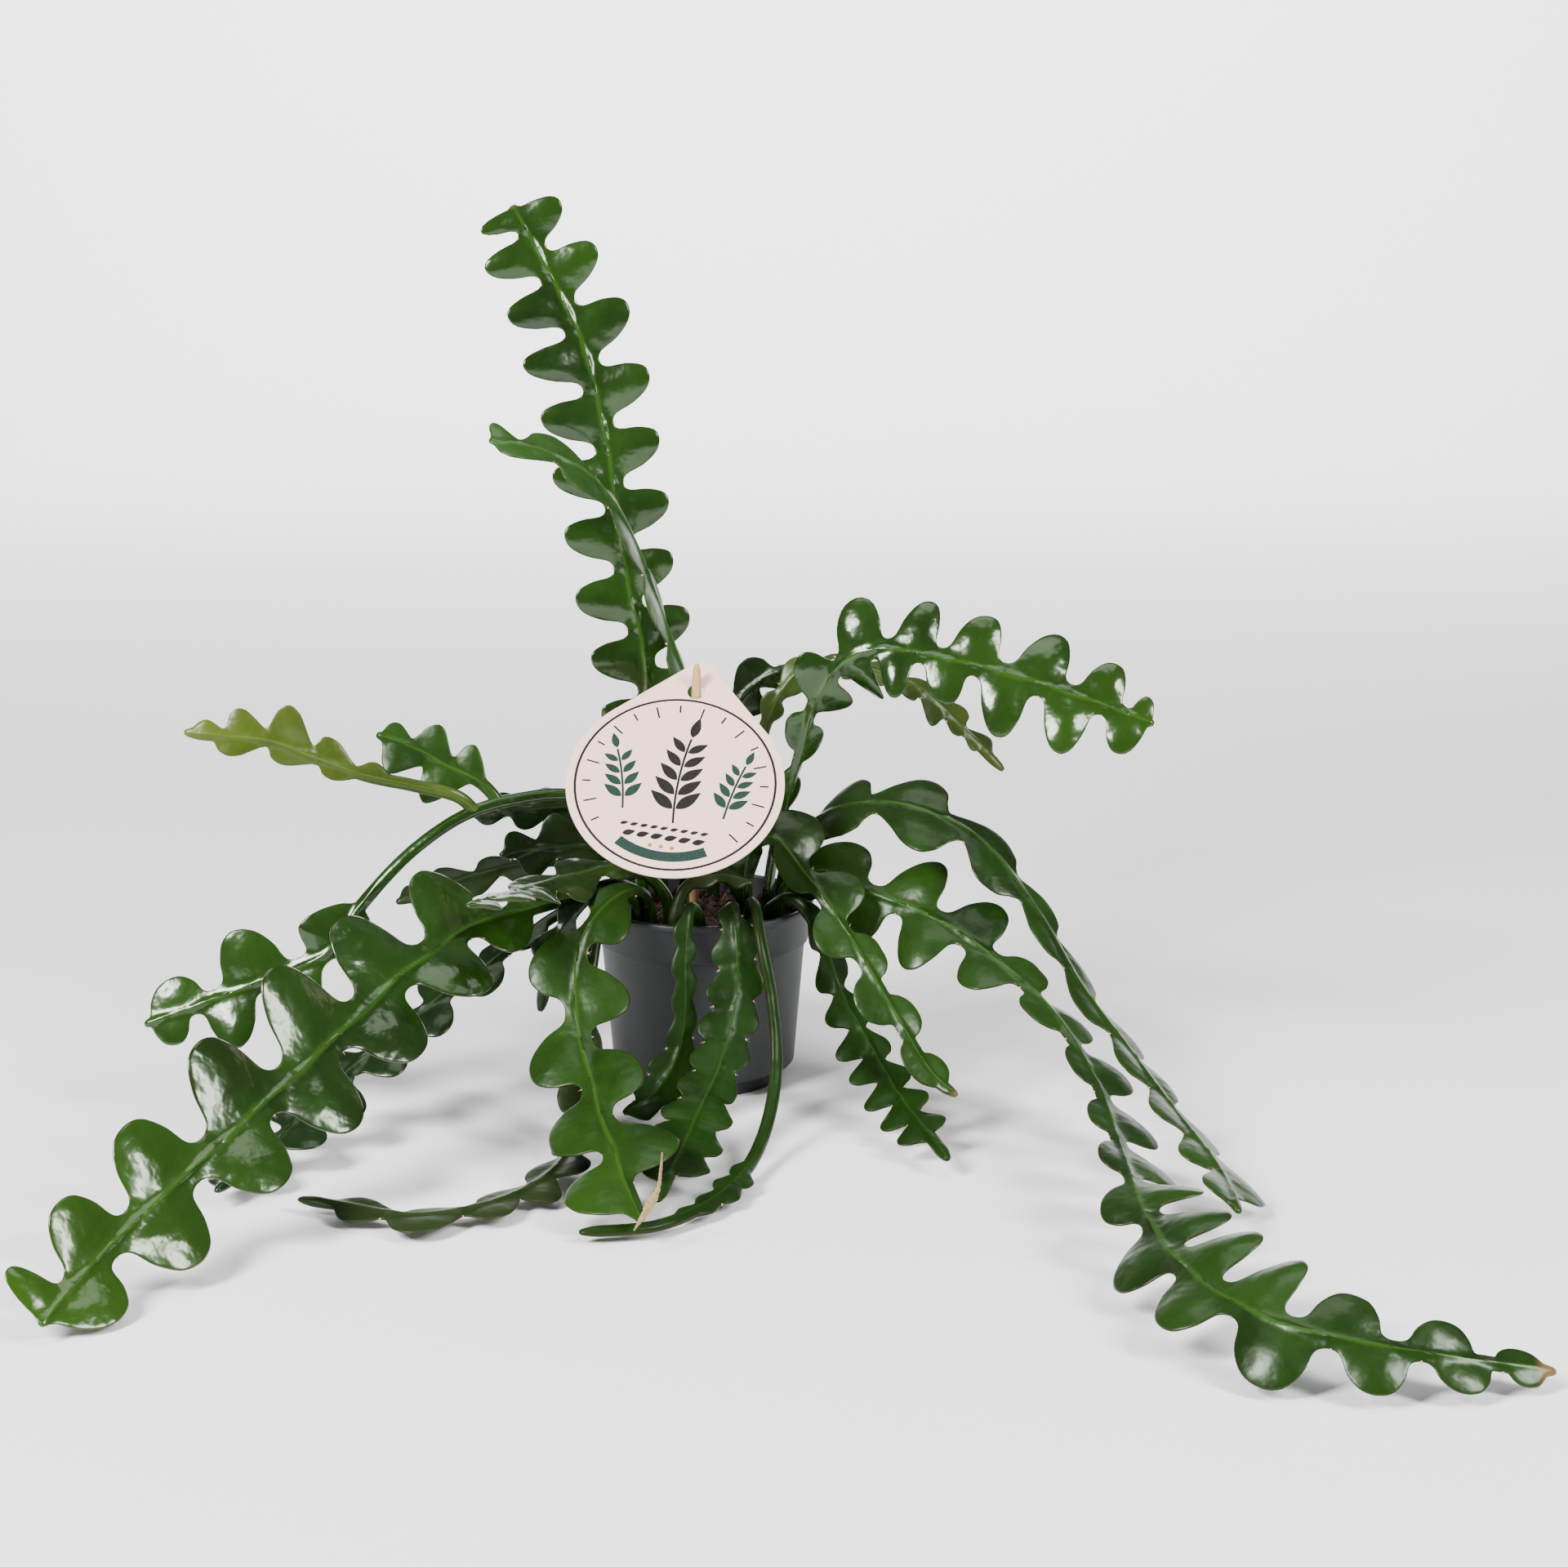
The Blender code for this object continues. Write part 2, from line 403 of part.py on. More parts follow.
def inner_radius(height):
    """The pot's inner radius at a height, for the soil."""
    collar_low = POT_HEIGHT - COLLAR_DEPTH
    under_collar = POT_RIM_RADIUS - RIM_LIP - COLLAR_STEP - 0.0008
    share = (height - FOOT_STEP_HEIGHT) / (collar_low - FOOT_STEP_HEIGHT)
    return WALL_FOOT_RADIUS + (under_collar - WALL_FOOT_RADIUS) * max(0.0, min(1.0, share)) - POT_WALL


def make_pot(collection, cutters, material):
    collar_low = POT_HEIGHT - COLLAR_DEPTH
    under_collar = POT_RIM_RADIUS - RIM_LIP - COLLAR_STEP - 0.0008
    collar_radius = POT_RIM_RADIUS - RIM_LIP
    inside = [
        (0.0, FLOOR_RISE + POT_WALL),
        (inner_radius(FOOT_STEP_HEIGHT) - 0.007, FLOOR_RISE + POT_WALL),
        (inner_radius(FOOT_STEP_HEIGHT), FOOT_STEP_HEIGHT + 0.0022),
        (inner_radius(collar_low), collar_low + 0.001),
        (collar_radius - POT_WALL - 0.0006, collar_low + 0.0026),
        (collar_radius - POT_WALL, POT_HEIGHT - 0.0008),
        (collar_radius - POT_WALL + 0.0006, POT_HEIGHT),
    ]
    rim = [
        (POT_RIM_RADIUS - 0.0007, POT_HEIGHT),
        (POT_RIM_RADIUS, POT_HEIGHT - 0.0007),
        (POT_RIM_RADIUS, POT_HEIGHT - 0.0022),
        (collar_radius, POT_HEIGHT - 0.0029),
    ]
    wall = [
        (collar_radius - 0.0006, collar_low + 0.0008),
        (collar_radius - 0.0012, collar_low),
        (under_collar, collar_low - 0.0004),
        (WALL_FOOT_RADIUS, FOOT_STEP_HEIGHT),
        (WALL_FOOT_RADIUS - 0.0008, FOOT_STEP_HEIGHT - 0.001),
        (FOOT_RADIUS + 0.0008, FOOT_STEP_HEIGHT - 0.003),
        (FOOT_RADIUS, 0.0010),
        (FOOT_RADIUS - 0.0008, 0.0),
        (0.0305, 0.0),
        (0.0295, FLOOR_RISE),
        (0.0110, FLOOR_RISE),
        (0.0100, 0.0),
        (0.0, 0.0),
    ]
    pot = turned("pot", inside + rim + wall, collection, material)
    drains = []
    for k in range(DRAIN_HOLES):
        angle = 2 * math.pi * (k + 0.5) / DRAIN_HOLES
        at = Vector((DRAIN_RING * math.cos(angle), DRAIN_RING * math.sin(angle), 0))
        drains.append((DRAIN_RADIUS, at + Vector((0, 0, -0.002)), at + Vector((0, 0, 0.008)), 8))
    cut(pot, joined_cutters("drain_cutters", drains, cutters), "drains")
    return pot


def make_soil(collection, cutters, material, feet):
    floor = FLOOR_RISE + POT_WALL + GAP
    profile = [
        (0.0, SOIL_TOP + SOIL_CROWN),
        (0.018, SOIL_TOP + SOIL_CROWN),
        (0.034, SOIL_TOP + 0.0008),
        (inner_radius(SOIL_TOP) - 0.0014, SOIL_TOP - 0.0012),
        (inner_radius(SOIL_TOP) - GAP - 0.0002, SOIL_TOP - 0.0030),
        (inner_radius(0.066) - GAP - 0.0002, 0.066),
        (inner_radius(FOOT_STEP_HEIGHT) - GAP - 0.0001, FOOT_STEP_HEIGHT + 0.0032),
        (inner_radius(FOOT_STEP_HEIGHT) - 0.0068, FOOT_STEP_HEIGHT + 0.0008),
        (inner_radius(FOOT_STEP_HEIGHT) - 0.0078, floor),
        (0.0, floor),
    ]
    soil = turned("soil", profile, collection, material)
    up = Vector((0, 0, 1))
    holes = []
    for foot in feet:
        bottom = Vector((foot[0], foot[1], STEM_HOLE_FLOOR))
        holes.append((STEM_HOLE_RADIUS, bottom, bottom + up * 0.03, 6))
    for k, hole in enumerate(holes):
        cut(soil, joined_cutters(f"stem_hole_{k}", [hole], cutters), f"hole_{k}")
    along = (STICK_TIP - STICK_FOOT).normalized()
    stick_hole = (STICK_RADIUS + 0.0006, STICK_FOOT - along * GAP, STICK_FOOT + along * 0.03, 12)
    cut(soil, joined_cutters("stick_hole", [stick_hole], cutters), "stick_hole")
    return soil


def make_stick(collection, material):
    axis = STICK_TIP - STICK_FOOT
    bm = bmesh.new()
    turn = axis.to_track_quat("Z", "Y").to_matrix().to_4x4()
    turn.translation = (STICK_TIP + STICK_FOOT) / 2
    bmesh.ops.create_cone(
        bm, cap_ends=True, segments=12, radius1=STICK_RADIUS, radius2=STICK_RADIUS * 0.25,
        depth=axis.length, matrix=turn,
    )
    share = 1 - STICK_TAPER / axis.length
    cuts = bmesh.ops.bisect_plane(
        bm, geom=bm.verts[:] + bm.edges[:] + bm.faces[:], dist=1e-6,
        plane_co=STICK_FOOT + axis * share, plane_no=axis.normalized(),
    )
    for vert in [v for v in cuts["geom_cut"] if isinstance(v, bmesh.types.BMVert)]:
        centre = STICK_FOOT + axis * share
        vert.co = centre + (vert.co - centre).normalized() * STICK_RADIUS
    mesh = bpy.data.meshes.new("label_stick")
    bm.to_mesh(mesh)
    bm.free()
    return add_object("label_stick", mesh, collection, material)


def card_outline(steps=30):
    """The round card's outline with its rounded point, about the card's middle."""
    tip_centre = CARD_POINT - CARD_POINT_ROUNDING
    tangent = math.acos((CARD_RADIUS - CARD_POINT_ROUNDING) / tip_centre)
    points = []
    for k in range(steps + 1):
        angle = math.pi / 2 + tangent + (2 * math.pi - 2 * tangent) * k / steps
        points.append((CARD_RADIUS * math.cos(angle), CARD_RADIUS * math.sin(angle)))
    for k in range(5):
        angle = math.pi / 2 - tangent + 2 * tangent * k / 4
        x, y = CARD_POINT_ROUNDING * math.cos(angle), CARD_POINT_ROUNDING * math.sin(angle)
        points.append((x, tip_centre + y))
    return points


def make_card(collection, material):
    curve = bpy.data.curves.new("label_card_outline", "CURVE")
    curve.dimensions = "2D"
    curve.fill_mode = "BOTH"
    curve.extrude = CARD_THICKNESS / 2
    hole = []
    for k in range(12):
        angle = 2 * math.pi * k / 12
        x, y = CARD_HOLE_RADIUS * math.cos(angle), CARD_HOLE_RADIUS * math.sin(angle)
        hole.append((x, CARD_HOLE_UP + y))
    for outline in (card_outline(), hole):
        spline = curve.splines.new("POLY")
        spline.points.add(len(outline) - 1)
        for point, (x, y) in zip(spline.points, outline):
            point.co = (x, y, 0, 1)
        spline.use_cyclic_u = True
    guide = bpy.data.objects.new("label_card_guide", curve)
    collection.objects.link(guide)
    graph = bpy.context.evaluated_depsgraph_get()
    mesh = bpy.data.meshes.new_from_object(guide.evaluated_get(graph))
    bpy.data.objects.remove(guide, do_unlink=True)
    bm = bmesh.new()
    bm.from_mesh(mesh)
    bmesh.ops.remove_doubles(bm, verts=bm.verts, dist=0.00002)
    leaning = Vector((0, math.sin(CARD_LEAN), math.cos(CARD_LEAN)))
    sideways = Vector((1, 0, 0))
    up = leaning * math.cos(CARD_TURN) + sideways * math.sin(CARD_TURN)
    across = sideways * math.cos(CARD_TURN) - leaning * math.sin(CARD_TURN)
    normal = across.cross(up)
    for vert in bm.verts:
        x, y, z = vert.co
        vert.co = CARD_HOLE_AT + across * x + up * (y - CARD_HOLE_UP) + normal * z
    bm.to_mesh(mesh)
    bm.free()
    mesh.name = "label_card"
    return add_object("label_card", mesh, collection, material)


def spread(values, share):
    """A value read at a share from 0 to 1 along evenly spread values, eased between them."""
    values = np.asarray(values, float)
    place = share * (len(values) - 1)
    k = min(int(place), len(values) - 2)
    t = place - k
    t = t * t * (3 - 2 * t)
    return values[k] * (1 - t) + values[k + 1] * t


def smooth_route(points, samples=400):
    """Evenly spaced points in metres on a Catmull-Rom curve through the route's points."""
    points = np.asarray(points, float) * CM
    before = 2 * points[0] - points[1]
    after = 2 * points[-1] - points[-2]
    full = np.vstack([before, points, after])
    found = []
    for k in range(len(points) - 1):
        p0, p1, p2, p3 = full[k:k + 4]
        k0 = 0.0
        k1 = k0 + np.linalg.norm(p1 - p0) ** 0.5
        k2 = k1 + np.linalg.norm(p2 - p1) ** 0.5
        k3 = k2 + np.linalg.norm(p3 - p2) ** 0.5
        for t in np.linspace(k1, k2, 40, endpoint=False):
            a1 = (k1 - t) / (k1 - k0) * p0 + (t - k0) / (k1 - k0) * p1
            a2 = (k2 - t) / (k2 - k1) * p1 + (t - k1) / (k2 - k1) * p2
            a3 = (k3 - t) / (k3 - k2) * p2 + (t - k2) / (k3 - k2) * p3
            b1 = (k2 - t) / (k2 - k0) * a1 + (t - k0) / (k2 - k0) * a2
            b2 = (k3 - t) / (k3 - k1) * a2 + (t - k1) / (k3 - k1) * a3
            found.append((k2 - t) / (k2 - k1) * b1 + (t - k1) / (k2 - k1) * b2)
    found.append(points[-1])
    found = np.array(found)
    lengths = np.concatenate([[0], np.cumsum(np.linalg.norm(np.diff(found, axis=0), axis=1))])
    even = np.linspace(0, lengths[-1], samples)
    return np.stack([np.interp(even, lengths, found[:, i]) for i in range(3)], 1), lengths[-1]


def frames_along(stem):
    """The rib's points, tangents, face normals and side directions, evenly spaced, and its length."""
    rib, length = smooth_route(stem["route"])
    tangents = np.gradient(rib, axis=0)
    tangents /= np.linalg.norm(tangents, axis=1)[:, None]
    faces = np.array([spread(stem["faces"], k / (len(rib) - 1)) for k in range(len(rib))])
    faces -= tangents * (faces * tangents).sum(1)[:, None]
    faces /= np.linalg.norm(faces, axis=1)[:, None]
    return rib, tangents, faces, np.cross(tangents, faces), length


def smooth_edge(shape, part):
    """A point of the lobe's edge, as (place along the lobe, share of its reach)."""
    count = len(shape)
    k = int(part * count)
    t = part * count - k
    around = []
    for step in (-1, 0, 1, 2):
        turn, index = divmod(k + step, count)
        around.append(np.array((shape[index][0] + turn, shape[index][1])))
    p0, p1, p2, p3 = around
    square = 2 * p0 - 5 * p1 + 4 * p2 - p3
    cube = 3 * p1 - p0 - 3 * p2 + p3
    curve = p1 + 0.5 * t * (p2 - p0 + t * (square + t * cube))
    return curve[0], min(1.0, curve[1])


def lobes_of(stem, side, length):
    """The sinuses along the rib on one side, and the places and values between which the reach runs."""
    lobes = np.array(stem["right" if side > 0 else "left"]) * CM
    places, reaches = lobes[:, 0], lobes[:, 1]
    middles = (places[1:] + places[:-1]) / 2
    half_first = middles[0] - places[0] if len(middles) else LONE_LOBE_HALF
    half_last = places[-1] - middles[-1] if len(middles) else LONE_LOBE_HALF
    first = max(0.001, places[0] - half_first)
    last = min(length + 0.001, places[-1] + half_last)
    sinuses = np.concatenate([[first], middles, [last]])
    at = np.concatenate([[first - 0.008, first], places, [last, last + 0.008]])
    into = [NECK_HALF_WIDTH, reaches[0] * 0.5]
    out_of = [reaches[-1] * 0.6, NECK_HALF_WIDTH]
    values = np.concatenate([into, reaches, out_of])
    return sinuses, at, values


def edge_at(stem, lobes, at):
    """(shift along the rib, half width, number of the lobe) of one side's edge at a place along the rib."""
    sinuses, places, values = lobes
    if not sinuses[0] < at < sinuses[-1]:
        return 0.0, NECK_HALF_WIDTH, -1
    lobe = int(np.searchsorted(sinuses, at)) - 1
    size = sinuses[lobe + 1] - sinuses[lobe]
    part = (at - sinuses[lobe]) / size
    x, w = smooth_edge(EDGES[stem["edge"]], part)
    half = max(NECK_HALF_WIDTH, np.interp(at, places, values) * w)
    return (x - part) * size, half, lobe


def blade_point(stem, frames, both, share, row):
    """A point of the blade's middle surface and its thickness as a share of the rib's."""
    rib, tangents, faces, sides, length = frames
    k = min(int(share * (len(rib) - 1)), len(rib) - 2)
    t = share * (len(rib) - 1) - k
    centre = rib[k] * (1 - t) + rib[k + 1] * t
    at = share * length
    side = 1 if row > 0 else -1
    to_tip = min(1.0, (length - at) / TIP_LENGTH)
    tip_share = math.sqrt(1 - 0.96 * (1 - to_tip) ** 2)
    reach = sum(np.interp(at, places, values) for _, places, values in both.values()) / 2 * tip_share
    lobed = min(1.0, max(0.0, (reach - 0.0035) / 0.006))
    shift, half, lobe = edge_at(stem, both[side], at)
    half = max(NECK_HALF_WIDTH, half * tip_share)
    out = half * abs(row)
    tilt = 0.10 * math.sin(2.4 * lobe + len(stem["route"]) + (1.3 if side > 0 else 0.0)) * lobed
    rise = stem["cup"] * out * out / 0.03 + tilt * out
    along = (shift + stem["lean"] * (half - NECK_HALF_WIDTH)) * abs(row) * lobed
    point = centre + sides[k] * out * side + faces[k] * rise + tangents[k] * along
    edge_share = EDGE_THICKNESS / RIB_THICKNESS
    weight = 1.0 - 0.30 * lobed if abs(row) < 0.5 else edge_share
    point[2] = max(point[2], weight * RIB_THICKNESS / 2 + LYING_HEIGHT)
    return point, weight


def stations(stem, both, length):
    """Places along the rib for the blade's columns: several to a lobe, and wider apart on a bare stem."""
    count = len(EDGES[stem["edge"]])
    places = [0.0]
    while places[-1] < length:
        at = places[-1] + 0.0005
        sizes = [BARE_STEP * count]
        for sinuses, _, _ in both.values():
            if sinuses[0] - BARE_STEP < at < sinuses[-1]:
                lobe = max(0, int(np.searchsorted(sinuses, at)) - 1)
                sizes.append(sinuses[lobe + 1] - sinuses[lobe])
        places.append(places[-1] + max(min(sizes), CLOSEST_COLUMNS * count) / count)
    places[-1] = length
    return np.array(places) / length


def make_stem(name, collection, materials):
    stem = STEMS[name]
    frames = frames_along(stem)
    both = {side: lobes_of(stem, side, frames[-1]) for side in (-1, 1)}
    shares = stations(stem, both, frames[-1])
    bm = bmesh.new()
    bmesh.ops.create_grid(bm, x_segments=len(shares) - 1, y_segments=2 * ROWS_EACH_SIDE, size=1)
    bmesh.ops.triangulate(bm, faces=bm.faces[:])
    weights = []
    for vert in bm.verts:
        column = round((vert.co.x + 1) / 2 * (len(shares) - 1))
        point, weight = blade_point(stem, frames, both, shares[column], vert.co.y)
        vert.co = point
        weights.append(weight)
    mesh = bpy.data.meshes.new(name)
    bm.to_mesh(mesh)
    bm.free()
    obj = add_object(name, mesh, collection, materials[stem["skin"]])
    group = obj.vertex_groups.new(name="thickness")
    for index, weight in enumerate(weights):
        group.add([index], weight, "REPLACE")
    solidify = obj.modifiers.new("blade", "SOLIDIFY")
    solidify.thickness = RIB_THICKNESS
    solidify.offset = 0
    solidify.vertex_group = "thickness"
    mesh.shade_smooth()
    return obj


def fuse(parent, child):
    """Joins a shoot to the stem that it grew on, and removes the shoot's own object."""
    apply_modifiers(child)
    apply_modifiers(parent)
    union = parent.modifiers.new("union", "BOOLEAN")
    union.operation = "UNION"
    union.solver = "EXACT"
    union.object = child
    apply_modifiers(parent)
    bpy.data.objects.remove(child, do_unlink=True)


def main():
    clear_scene()
    scene = bpy.context.scene
    plant = bpy.data.collections.new("fishbone_cactus")
    cutters = bpy.data.collections.new("cutters")
    scene.collection.children.link(plant)
    scene.collection.children.link(cutters)
    skins = {name: make_material(f"stem_{name}", *values) for name, values in SKINS.items()}
    pot_plastic = make_material("pot_plastic", (0.30, 0.31, 0.33), 0.55)
    peat = make_material("peat", (0.13, 0.08, 0.06), 0.95)
    board = make_material("label_board", (0.95, 0.89, 0.87), 0.6)
    wood = make_material("stick_wood", (0.80, 0.70, 0.55), 0.7)
    stems = {name: make_stem(name, plant, skins) for name in STEMS}
    for shoot in SHOOTS:
        fuse(stems[SHOOTS_PARENT], stems[shoot])
    feet = [STEMS[name]["route"][0] for name in STEMS if name not in SHOOTS]
    feet = [(x * CM, y * CM) for x, y, z in feet]
    make_pot(plant, cutters, pot_plastic)
    make_soil(plant, cutters, peat, feet)
    make_stick(plant, wood)
    make_card(plant, board)


main()
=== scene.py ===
import math
import random

import bmesh
import bpy
import numpy as np
from mathutils import Matrix, Vector


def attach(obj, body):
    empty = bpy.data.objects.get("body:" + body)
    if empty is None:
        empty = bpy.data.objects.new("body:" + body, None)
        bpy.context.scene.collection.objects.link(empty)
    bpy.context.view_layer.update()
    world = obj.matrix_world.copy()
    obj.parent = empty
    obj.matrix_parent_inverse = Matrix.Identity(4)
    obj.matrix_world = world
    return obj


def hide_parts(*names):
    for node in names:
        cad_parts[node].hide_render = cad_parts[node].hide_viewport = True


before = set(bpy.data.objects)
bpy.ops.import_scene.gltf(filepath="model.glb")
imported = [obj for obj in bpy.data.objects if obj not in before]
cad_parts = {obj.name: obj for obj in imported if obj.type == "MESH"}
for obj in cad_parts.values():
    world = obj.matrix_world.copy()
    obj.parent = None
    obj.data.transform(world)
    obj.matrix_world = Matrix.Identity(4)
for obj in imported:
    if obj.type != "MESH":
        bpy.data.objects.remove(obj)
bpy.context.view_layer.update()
print("frame loaded")

cm = 0.01
mm = 0.001
fullTurn = 2 * math.pi
noiseBlotch = 500.0  # noise at scale 1 has blotches about this many millimetres across


def hexToLinear(code):
    values = [int(code[i:i + 2], 16) / 255 for i in (1, 3, 5)]
    return [v / 12.92 if v <= 0.04045 else ((v + 0.055) / 1.055) ** 2.4 for v in values] + [1.0]


def fillInputs(tree, node, inputs):
    for name, value in inputs.items():
        if isinstance(value, bpy.types.NodeSocket):
            tree.links.new(value, node.inputs[name])
        else:
            node.inputs[name].default_value = value


def addNode(tree, kind, inputs, out=0, **settings):
    node = tree.nodes.new("ShaderNode" + kind)
    for name, value in settings.items():
        setattr(node, name, value)
    fillInputs(tree, node, inputs)
    return node.outputs[out]


# A finish is one dictionary. Its patterns are noise: blotch size in mm, detail, roughness.
# The first colour lies under all. Each further one names the pattern that brings it and how
# much of it shows at most, and for an eased edge also where in the pattern it starts and ends.
# A bump is a pattern, its height in mm and its strength.
def makeFinish(finish):
    material = bpy.data.materials.new(finish["name"])
    material.use_nodes = True
    tree = material.node_tree
    patterns = {}
    for name, (size, detail, roughness) in finish.get("patterns", {}).items():
        place = addNode(tree, "TexCoord", {}, "Object")
        if isinstance(size, tuple):  # blotches drawn out along an axis
            stretch = [noiseBlotch / axis for axis in size]
            place = addNode(tree, "Mapping", {"Vector": place, "Scale": stretch})
            scale = 1.0
        else:
            scale = noiseBlotch / size
        inputs = {"Vector": place, "Scale": scale, "Detail": detail, "Roughness": roughness}
        patterns[name] = addNode(tree, "TexNoise", inputs)
    if "attribute" in finish:
        grown = addNode(tree, "Attribute", {}, "Color", attribute_name=finish["attribute"])
        parts = addNode(tree, "SeparateColor", {"Color": grown}).node.outputs
        patterns["share"], patterns["youth"], patterns["lobe"] = parts[0], parts[1], parts[2]
        patterns["dryness"] = grown.node.outputs["Alpha"]
    color = hexToLinear(finish["colors"][0])
    for code, pattern, most, *ease in finish["colors"][1:]:
        low, high = ease or (0, 1)
        inputs = {"Value": patterns[pattern], "From Min": low, "From Max": high, "To Max": most}
        kind = "SMOOTHSTEP" if ease else "LINEAR"
        amount = addNode(tree, "MapRange", inputs, interpolation_type=kind)
        inputs = {0: amount, 6: color, 7: hexToLinear(code)}
        color = addNode(tree, "Mix", inputs, 2, data_type="RGBA")
    inputs = {"Base Color": color, "Roughness": finish["roughness"], **finish.get("inputs", {})}
    if isinstance(finish["roughness"], tuple):
        pattern, low, high = finish["roughness"]
        limits = {"Value": patterns[pattern], "To Min": low, "To Max": high}
        inputs["Roughness"] = addNode(tree, "MapRange", limits)
    below = {}
    for pattern, height, strength in finish.get("bumps", ()):
        bump = {"Height": patterns[pattern], "Distance": height * mm, "Strength": strength}
        below = {"Normal": addNode(tree, "Bump", {**bump, **below})}
    fillInputs(tree, tree.nodes["Principled BSDF"], {**inputs, **below})
    return material


def linkObject(name, data):
    obj = bpy.data.objects.new(name, data)
    bpy.context.scene.collection.objects.link(obj)
    return obj


def placeObject(name, mesh, material, node=None):
    obj = linkObject(name, mesh)
    mesh.materials.append(material)
    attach(obj, "root")
    if node:
        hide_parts(node)


def outwardMesh(bm, mesh):
    bmesh.ops.recalc_face_normals(bm, faces=bm.faces)
    bm.to_mesh(mesh)
    bm.free()
    return mesh


# A closed bar through rings of vertices.
def bridgeRings(bm, rings):
    count = len(rings[0])
    for first, second in zip(rings, rings[1:]):
        for k in range(count):
            after = (k + 1) % count
            bm.faces.new((first[k], first[after], second[after], second[k]))
    bm.faces.new(rings[0][::-1])
    bm.faces.new(rings[-1])


def polar(radius, angle, centre=(0.0, 0.0)):
    return centre[0] + radius * math.cos(angle), centre[1] + radius * math.sin(angle)


# Edge of one lobe, from sinus to sinus: (place along the pitch, reach from the rib), as shares.
edgeShapes = {
    "thumb": ((0.00, 0.20), (0.13, 0.28), (0.20, 0.62), (0.33, 0.90),
              (0.50, 1.00), (0.68, 0.93), (0.81, 0.64), (0.88, 0.30)),
    "wave": ((0.00, 0.34), (0.18, 0.62), (0.36, 0.92), (0.56, 1.00), (0.76, 0.84), (0.88, 0.52)),
    "tooth": ((0.00, 0.66), (0.25, 0.82), (0.50, 1.00), (0.78, 0.92)),
}

